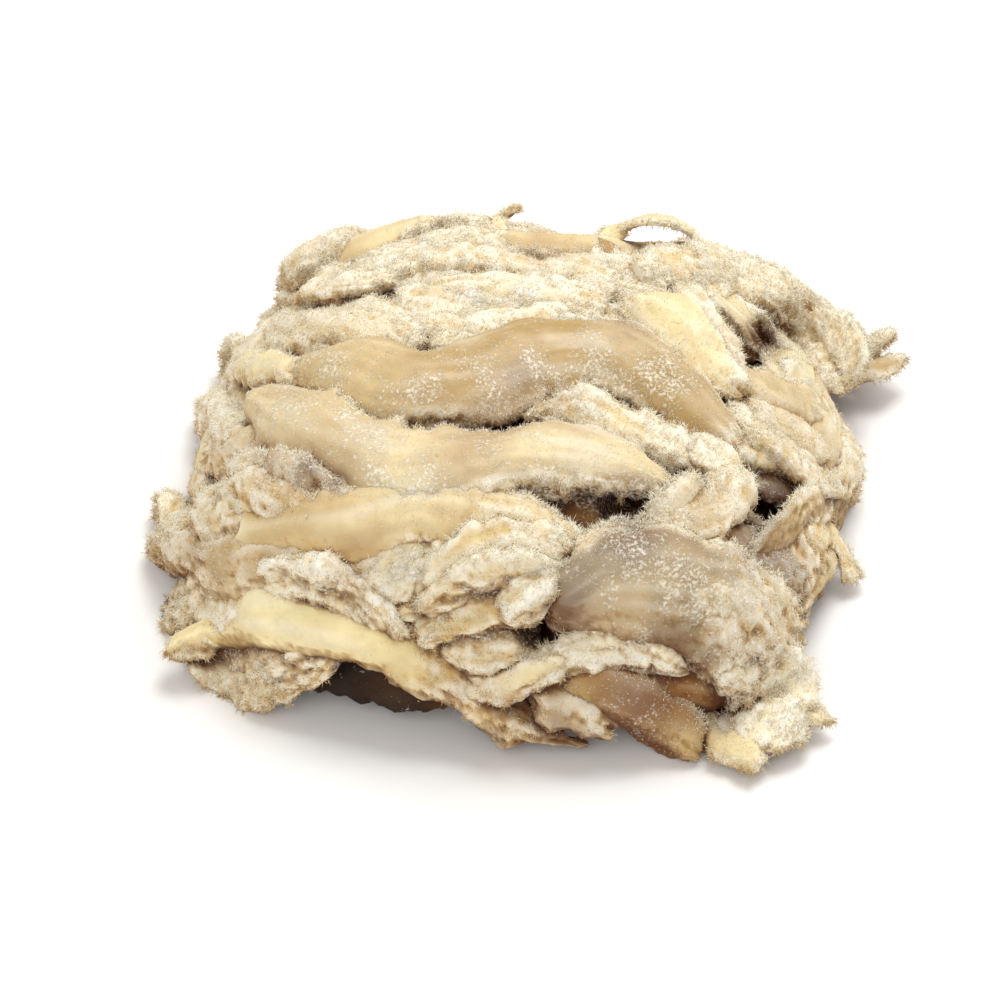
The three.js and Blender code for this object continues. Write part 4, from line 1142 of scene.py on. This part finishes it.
def heap_points():
    """The points in millimetres, normals, fluff, frost, exposure and colour of all the pieces of flesh."""
    parts = {"points": [], "normals": [], "fluff": [], "frost": [], "exposed": [], "flesh": []}
    for name in STRIP_PIECES:
        mesh = bpy.data.objects[name].data
        parts["points"].append(numbers_of(mesh.vertices, "co", 3) / MM)
        parts["normals"].append(numbers_of(mesh.vertices, "normal", 3))
        for key in ("fluff", "frost", "exposed"):
            parts[key].append(numbers_of(mesh.attributes[key].data, "value", 1)[:, 0])
        parts["flesh"].append(numbers_of(mesh.attributes["flesh"].data, "color", 4)[:, :3])
    return SimpleNamespace(**{key: np.concatenate(values) for key, values in parts.items()})


# How many bearings the sky is looked at in, and at which rises in degrees. Then the size of the cells that
# points are dropped into and how deep a cell's front is.
SKY_BEARINGS = 12
SKY_RISES = (12, 32, 55, 80)
SKY_CELL = 1.8
SKY_DEPTH = 1.8
# What every direction counts for, besides the sine of its rise.
SKY_LEAST = 0.15
# Painted shade: flesh that sees less than the second share of the sky is tinted warmer and darker, fully so
# below the first.
SHELTER = (0.18, 0.6)
SHELTER_SHADE_TINT = np.array([1.0, 0.86, 0.64])


def exposure(points):
    """The share of the sky that each point sees.

    From each of a set of directions, the points are dropped into square cells, and those near the front of
    their cell are the ones that see that way. Directions count by the sine of their rise and a little more.
    """
    seen_sky = np.zeros(len(points))
    whole = 0.0
    for rise in np.radians(SKY_RISES):
        for bearing in np.arange(SKY_BEARINGS) * 2 * math.pi / SKY_BEARINGS + rise:
            level = math.cos(rise)
            way = np.array([level * math.cos(bearing), level * math.sin(bearing), math.sin(rise)])
            right = unit(np.cross([0, 0, 1], way))
            up = np.cross(way, right)
            cells = np.floor(np.stack([points @ right, points @ up], axis=-1) / SKY_CELL).astype(np.int64)
            cells -= cells.min(axis=0)
            index = cells[:, 0] * (cells[:, 1].max() + 1) + cells[:, 1]
            ahead = points @ way
            front = np.full(index.max() + 1, -np.inf)
            np.maximum.at(front, index, ahead)
            weight = math.sin(rise) + SKY_LEAST
            seen_sky += weight * (ahead > front[index] - SKY_DEPTH)
            whole += weight
    return seen_sky / whole


# Where the key light is, in metres.
KEY_PLACE = (0.25, 0.45, 1.4)
# Where fibres stand: in clumps of a size, where it is fluffy or, mostly on top, where powder lies, under
# open sky, and most on rims. Pairs are what the least and the most of a thing count for, or where a thing
# starts and is full.
FUZZ_CHANCE = SimpleNamespace(
    clump_size=2.6, clump_shift=50, clump_rise=(-0.4, 0.5), clump=(0.5, 1.5), powder=1.5, on_top=(0.4, 1.0),
    sky=(0.2, 0.55), rim=(0.25, 1.55))
# The fibres' shape: how far their roots are scattered and sunk, how far they lean with the flesh, with the
# sweep of the noise round them and by chance, and how their length and width change from stout to slim, and
# with fluff and rim.
FUZZ_SHAPE = SimpleNamespace(
    scatter=0.4, sunk=0.2, sweep_size=3.5, sweep_shifts=(10, 60, 110), upright=(0.15, 0.75), sweep=0.5,
    spread=0.8, slim_power=1.5, slim_length=(0.6, 1.8), fluff_length=(0.4, 1.3), rim_length=(0.75, 1.25),
    slim_width=(1.25, 0.55), fluff_width=(0.8, 1.0))
# A fibre's corners round its root, as angles, and the faces between them and the tip.
FIBRE_CORNERS = (0, 2 * math.pi / 3, 4 * math.pi / 3)
FIBRE_FACES = np.array([[0, 2, 1], [0, 1, 3], [1, 2, 3], [2, 0, 3]])
# The fibres' colours, with painted light and shade. Those on faces turned to the key light under open sky
# are painted paler, and some are painted salt-white as a highlight. Those on faces that are turned from the
# key light have the flesh's tone with a warm painted-shade tint, and are browned.
FUZZ_TONE = SimpleNamespace(
    lit=(-0.3, 0.5), sky=(0.08, 0.5), open_sky=(0.35, 0.8), lit_foot_pale=0.6, shade_foot_dark=0.3, tip=(0.6, 1.0),
    tip_light=(0.2, 1.0), salt_highlight=0.55, salt_highlight_foot=0.6, shade_tint=np.array([1.0, 0.86, 0.6]))
# How many pieces the fibres are shared out to.
FUZZ_PIECES = 3


def fuzz_chance(heap, rim):
    """How likely a fibre is at each point of the heap, as the settings say."""
    clump = noise(heap.points / FUZZ_CHANCE.clump_size + FUZZ_CHANCE.clump_shift)
    clump = smoothstep(*FUZZ_CHANCE.clump_rise, clump)
    on_top = between(*FUZZ_CHANCE.on_top, heap.normals[:, 2].clip(0, 1))
    chance = between(*FUZZ_CHANCE.clump, clump) * heap.fluff
    chance = chance + FUZZ_CHANCE.powder * clump ** 2 * heap.frost ** 2 * on_top
    return chance * smoothstep(*FUZZ_CHANCE.sky, heap.exposed) * between(*FUZZ_CHANCE.rim, rim)


def fuzz_points(heap, chosen, rim, sizes, rng):
    """The fibres at the chosen points as thin pyramids: three corners round the root, and the tip."""
    count = len(chosen)
    fluff = heap.fluff[chosen]
    normal = heap.normals[chosen]
    place = heap.points[chosen]
    root = place + rng.normal(0, FUZZ_SHAPE.scatter, (count, 3)) - FUZZ_SHAPE.sunk * normal
    sweep = [noise(place / FUZZ_SHAPE.sweep_size + shift) for shift in FUZZ_SHAPE.sweep_shifts]
    spread = unit(rng.normal(size=(count, 3)))
    upright = between(*FUZZ_SHAPE.upright, fluff)[:, None]
    way = unit(normal * upright + FUZZ_SHAPE.sweep * np.stack(sweep, axis=-1) + FUZZ_SHAPE.spread * spread)
    slim = rng.uniform(0, 1, count) ** FUZZ_SHAPE.slim_power
    length = sizes.fuzz_length / MM * between(*FUZZ_SHAPE.slim_length, slim)
    length = length * between(*FUZZ_SHAPE.fluff_length, fluff)
    length = length * between(*FUZZ_SHAPE.rim_length, rim[chosen])
    side = unit(np.cross(way, rng.normal(size=(count, 3))))
    other = np.cross(way, side)
    half = sizes.fuzz_width / MM / 2 * between(*FUZZ_SHAPE.slim_width, slim)
    half = half * between(*FUZZ_SHAPE.fluff_width, fluff)
    corners = [root + half[:, None] * (side * math.cos(angle) + other * math.sin(angle))
               for angle in FIBRE_CORNERS]
    points = np.stack([*corners, root + way * length[:, None]], axis=1)
    points[..., 2] = np.maximum(points[..., 2], 0)
    return points


def fuzz_flesh(heap, chosen, colours, rng):
    """The colours of the chosen fibres' corners and tips, (n, 4, 3).

    A foot has the tone of its flesh, painted paler where it faces the key light under open sky and browner
    and warmer, as painted shade, where it doesn't. The tip is nearer to the fuzz's own colour, painted
    paler in the light, and some of those under open sky that face the key light are painted salt-white:
    real salt, shown only where lit, as a painted highlight.
    """
    count = len(chosen)
    exposed = heap.exposed[chosen]
    lit = smoothstep(*FUZZ_TONE.lit, heap.normals[chosen] @ unit(np.array(KEY_PLACE)))
    light = smoothstep(*FUZZ_TONE.sky, exposed) * lit
    foot = heap.flesh[chosen] * between(FUZZ_TONE.shade_tint, 1, lit[:, None])
    foot = towards(foot, colours.fuzz, FUZZ_TONE.lit_foot_pale * light)
    foot = towards(foot, colours.brown, FUZZ_TONE.shade_foot_dark * (1 - light))
    pale = rng.uniform(*FUZZ_TONE.tip, count) * between(*FUZZ_TONE.tip_light, light)
    tip = towards(foot, colours.fuzz, pale)
    # Painted highlight: salt-white tips and feet only on fibres that face the key light under open sky.
    open_sky = smoothstep(*FUZZ_TONE.open_sky, exposed) * lit
    salt_highlight = (rng.uniform(size=count) < FUZZ_TONE.salt_highlight) * open_sky
    tip = towards(tip, colours.salt, salt_highlight)
    foot = towards(foot, colours.salt, FUZZ_TONE.salt_highlight_foot * salt_highlight)
    return np.stack([foot, foot, foot, tip], axis=1)


# Operators

BACK_SEED = 3
FLAKE_SEED = 4
FUZZ_SEED = 5
# The strips that don't show as closely are this much coarser.
COARSER = 1.4
# The piece that strips of some tones are part of.
TONE_PIECES = {
    "cream": "fluffy_strips", "wool": "fluffy_strips", "white": "fluffy_strips", "yellow": "thin_strips"}


class POLLOCK_OT_core(bpy.types.Operator):
    """Lay the core that the strips lie on"""
    bl_idname = "pollock.core"
    bl_label = "Core"

    def execute(self, context):
        add_flesh("core", [core_surface(context.scene.pollock_colours)])
        return {"FINISHED"}


class POLLOCK_OT_strips(bpy.types.Operator):
    """Lay the strips that show from the front: smooth, fluffy and thin ones"""
    bl_idname = "pollock.strips"
    bl_label = "Strips"

    def execute(self, context):
        spacing = context.scene.pollock_sizes.detail / MM
        colours = context.scene.pollock_colours
        pieces = {"smooth_strips": [], "fluffy_strips": [], "thin_strips": []}
        for row in STRIPS:
            rng = np.random.default_rng(list(row.name.encode()))
            made = [(seen(row.line), row)]
            if row.tone == "cream":
                made = strands(*made[0], rng)
            surfaces = pieces[TONE_PIECES.get(row.tone, "smooth_strips")]
            surfaces += [strip_surface(points, look, spacing, colours, rng) for points, look in made]
        for name, surfaces in pieces.items():
            add_flesh(name, surfaces)
        return {"FINISHED"}


class POLLOCK_OT_back(bpy.types.Operator):
    """Lay the strips round the back, in courses"""
    bl_idname = "pollock.back"
    bl_label = "Back strips"

    def execute(self, context):
        spacing = COARSER * (context.scene.pollock_sizes.detail / MM)
        colours = context.scene.pollock_colours
        rng = np.random.default_rng(BACK_SEED)
        surfaces = []
        for index, line in enumerate(back_lines()):
            tone = BACK_TONES[index % len(BACK_TONES)]
            fluff = BACK_STRIP.torn_fluff if tone in ("cream", "white") else BACK_STRIP.smooth_fluff
            look = SimpleNamespace(
                tone=tone, fluff=(fluff, fluff), width=BACK_STRIP.width, thick=BACK_STRIP.thick, roll=0.0,
                ends=BACK_STRIP.ends, hollowed=True)
            surfaces += [strip_surface(points, strand, spacing, colours, rng)
                         for points, strand in strands(line, look, rng)]
        add_flesh("back_strips", surfaces)
        return {"FINISHED"}


class POLLOCK_OT_flakes(bpy.types.Operator):
    """Lay small flakes between the strips"""
    bl_idname = "pollock.flakes"
    bl_label = "Small flakes"

    def execute(self, context):
        spacing = COARSER * (context.scene.pollock_sizes.detail / MM)
        colours = context.scene.pollock_colours
        rng = np.random.default_rng(FLAKE_SEED)
        surfaces = []
        for _ in range(context.scene.pollock_sizes.flake_count):
            points, look = flake(rng)
            if not over_hollow(points):
                surfaces.append(strip_surface(points, look, spacing, colours, rng))
        add_flesh("small_flakes", surfaces)
        return {"FINISHED"}


class POLLOCK_OT_exposure(bpy.types.Operator):
    """Work out how much sky each point of the heap sees"""
    bl_idname = "pollock.exposure"
    bl_label = "Exposure"

    def execute(self, context):
        heap = heap_points()
        shares = exposure(heap.points)
        # Painted shade: the flesh that sees little of the sky is tinted warmer and darker.
        tint = between(1, SHELTER_SHADE_TINT, smoothstep(SHELTER[1], SHELTER[0], shares)[:, None])
        flesh = np.column_stack([heap.flesh * tint, np.ones(len(shares))])
        start = 0
        for name in STRIP_PIECES:
            mesh = bpy.data.objects[name].data
            end = start + len(mesh.vertices)
            set_attribute(mesh, "exposed", "FLOAT", "value", shares[start:end])
            set_attribute(mesh, "flesh", "FLOAT_COLOR", "color", flesh[start:end])
            start = end
        return {"FINISHED"}


class POLLOCK_OT_fuzz(bpy.types.Operator):
    """Stand short fibres on the torn faces and edges"""
    bl_idname = "pollock.fuzz"
    bl_label = "Fuzz"

    def execute(self, context):
        sizes = context.scene.pollock_sizes
        heap = heap_points()
        rng = np.random.default_rng(FUZZ_SEED)
        rim = 1 - np.abs((heap.normals * mound_normal(heap.points[:, :2])).sum(axis=1))
        chance = fuzz_chance(heap, rim)
        chosen = rng.choice(len(chance), sizes.fuzz_count, p=chance / chance.sum())
        points = fuzz_points(heap, chosen, rim, sizes, rng)
        flesh = fuzz_flesh(heap, chosen, context.scene.pollock_colours, rng)
        for index, part in enumerate(np.array_split(np.arange(len(chosen)), FUZZ_PIECES)):
            corners = 4 * len(part)
            triangles = (4 * np.arange(len(part))[:, None, None] + FIBRE_FACES).reshape(-1, 3)
            surface = SimpleNamespace(
                points=points[part].reshape(-1, 3), quads=np.empty((0, 4), np.int64), triangles=triangles,
                fluff=np.ones(corners), frost=np.ones(corners), flesh=flesh[part].reshape(-1, 3),
                lay=np.zeros((corners, 3)))
            add_piece(f"fuzz_{index + 1}", surface, material_of(FIBRE_MATERIAL, loose_fibre))
        return {"FINISHED"}


# The soft lamps: name, place and size in metres, and power in watts.
LAMPS = [
    ("key softbox", KEY_PLACE, 0.7, 13.0),
    ("front fill", (-0.45, -1.1, 1.0), 1.2, 7.6),
    ("back fill", (0.75, 0.8, 0.8), 0.8, 3.4),
]
# The light from all round, and how far the floor reaches to each side in metres.
WORLD_COLOUR = (1, 0.955, 0.875, 1)
WORLD_STRENGTH = 0.55
FLOOR_REACH = 4.0


class POLLOCK_OT_stage(bpy.types.Operator):
    """Set the floor, the soft light and the camera"""
    bl_idname = "pollock.stage"
    bl_label = "Stage"

    def execute(self, context):
        scene = context.scene
        corners = [(-FLOOR_REACH, -FLOOR_REACH, 0), (FLOOR_REACH, -FLOOR_REACH, 0),
                   (FLOOR_REACH, FLOOR_REACH, 0), (-FLOOR_REACH, FLOOR_REACH, 0)]
        mesh = bpy.data.meshes.new("floor")
        mesh.from_pydata(corners, [], [(0, 1, 2, 3)])
        mesh.materials.append(floor_paper())
        floor = bpy.data.objects.new("floor", mesh)
        scene.collection.objects.link(floor)

        world = bpy.data.worlds.new("white studio")
        world.use_nodes = True
        background = world.node_tree.nodes["Background"]
        background.inputs["Color"].default_value = WORLD_COLOUR
        background.inputs["Strength"].default_value = WORLD_STRENGTH
        scene.world = world
        for name, place, size, power in LAMPS:
            light = bpy.data.lights.new(name, "AREA")
            light.size = size
            light.energy = power
            lamp = bpy.data.objects.new(name, light)
            lamp.location = place
            lamp.rotation_euler = (-Vector(place)).to_track_quat("-Z", "Y").to_euler()
            scene.collection.objects.link(lamp)

        camera = bpy.data.objects.new("camera", bpy.data.cameras.new("camera"))
        camera.data.lens = LENS
        camera.data.sensor_width = SENSOR
        aim = Vector((*(VIEW.aim[:2] + MOUND.middle), VIEW.aim[2])) * MM
        away = Vector((0, -math.cos(VIEW.elevation), math.sin(VIEW.elevation)))
        camera.location = aim + away * VIEW.distance * MM
        camera.rotation_euler = (-away).to_track_quat("-Z", "Y").to_euler()
        scene.collection.objects.link(camera)
        scene.camera = camera
        scene.view_settings.view_transform = "Standard"
        return {"FINISHED"}


class POLLOCK_PT_panel(bpy.types.Panel):
    """Lists what makes the heap"""
    bl_idname = "POLLOCK_PT_panel"
    bl_label = "Shredded pollock"
    bl_space_type = "VIEW_3D"
    bl_region_type = "UI"
    bl_category = "Pollock"

    def draw(self, context):
        for settings in (context.scene.pollock_sizes, context.scene.pollock_colours):
            for name in settings.__annotations__:
                self.layout.prop(settings, name)
        for operator in OPERATORS:
            self.layout.operator(operator.bl_idname)


OPERATORS = (POLLOCK_OT_core, POLLOCK_OT_strips, POLLOCK_OT_back, POLLOCK_OT_flakes, POLLOCK_OT_exposure,
             POLLOCK_OT_fuzz, POLLOCK_OT_stage)
CLASSES = (PollockColours, PollockSizes, *OPERATORS, POLLOCK_PT_panel)


def register():
    for made in CLASSES:
        bpy.utils.register_class(made)
    bpy.types.Scene.pollock_colours = bpy.props.PointerProperty(type=PollockColours)
    bpy.types.Scene.pollock_sizes = bpy.props.PointerProperty(type=PollockSizes)


def unregister():
    del bpy.types.Scene.pollock_sizes
    del bpy.types.Scene.pollock_colours
    for made in reversed(CLASSES):
        bpy.utils.unregister_class(made)


def main():
    register()
    bpy.ops.pollock.core()
    bpy.ops.pollock.strips()
    bpy.ops.pollock.back()
    bpy.ops.pollock.flakes()
    bpy.ops.pollock.exposure()
    bpy.ops.pollock.fuzz()
    bpy.ops.pollock.stage()
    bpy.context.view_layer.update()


if __name__ == "__main__":
    main()
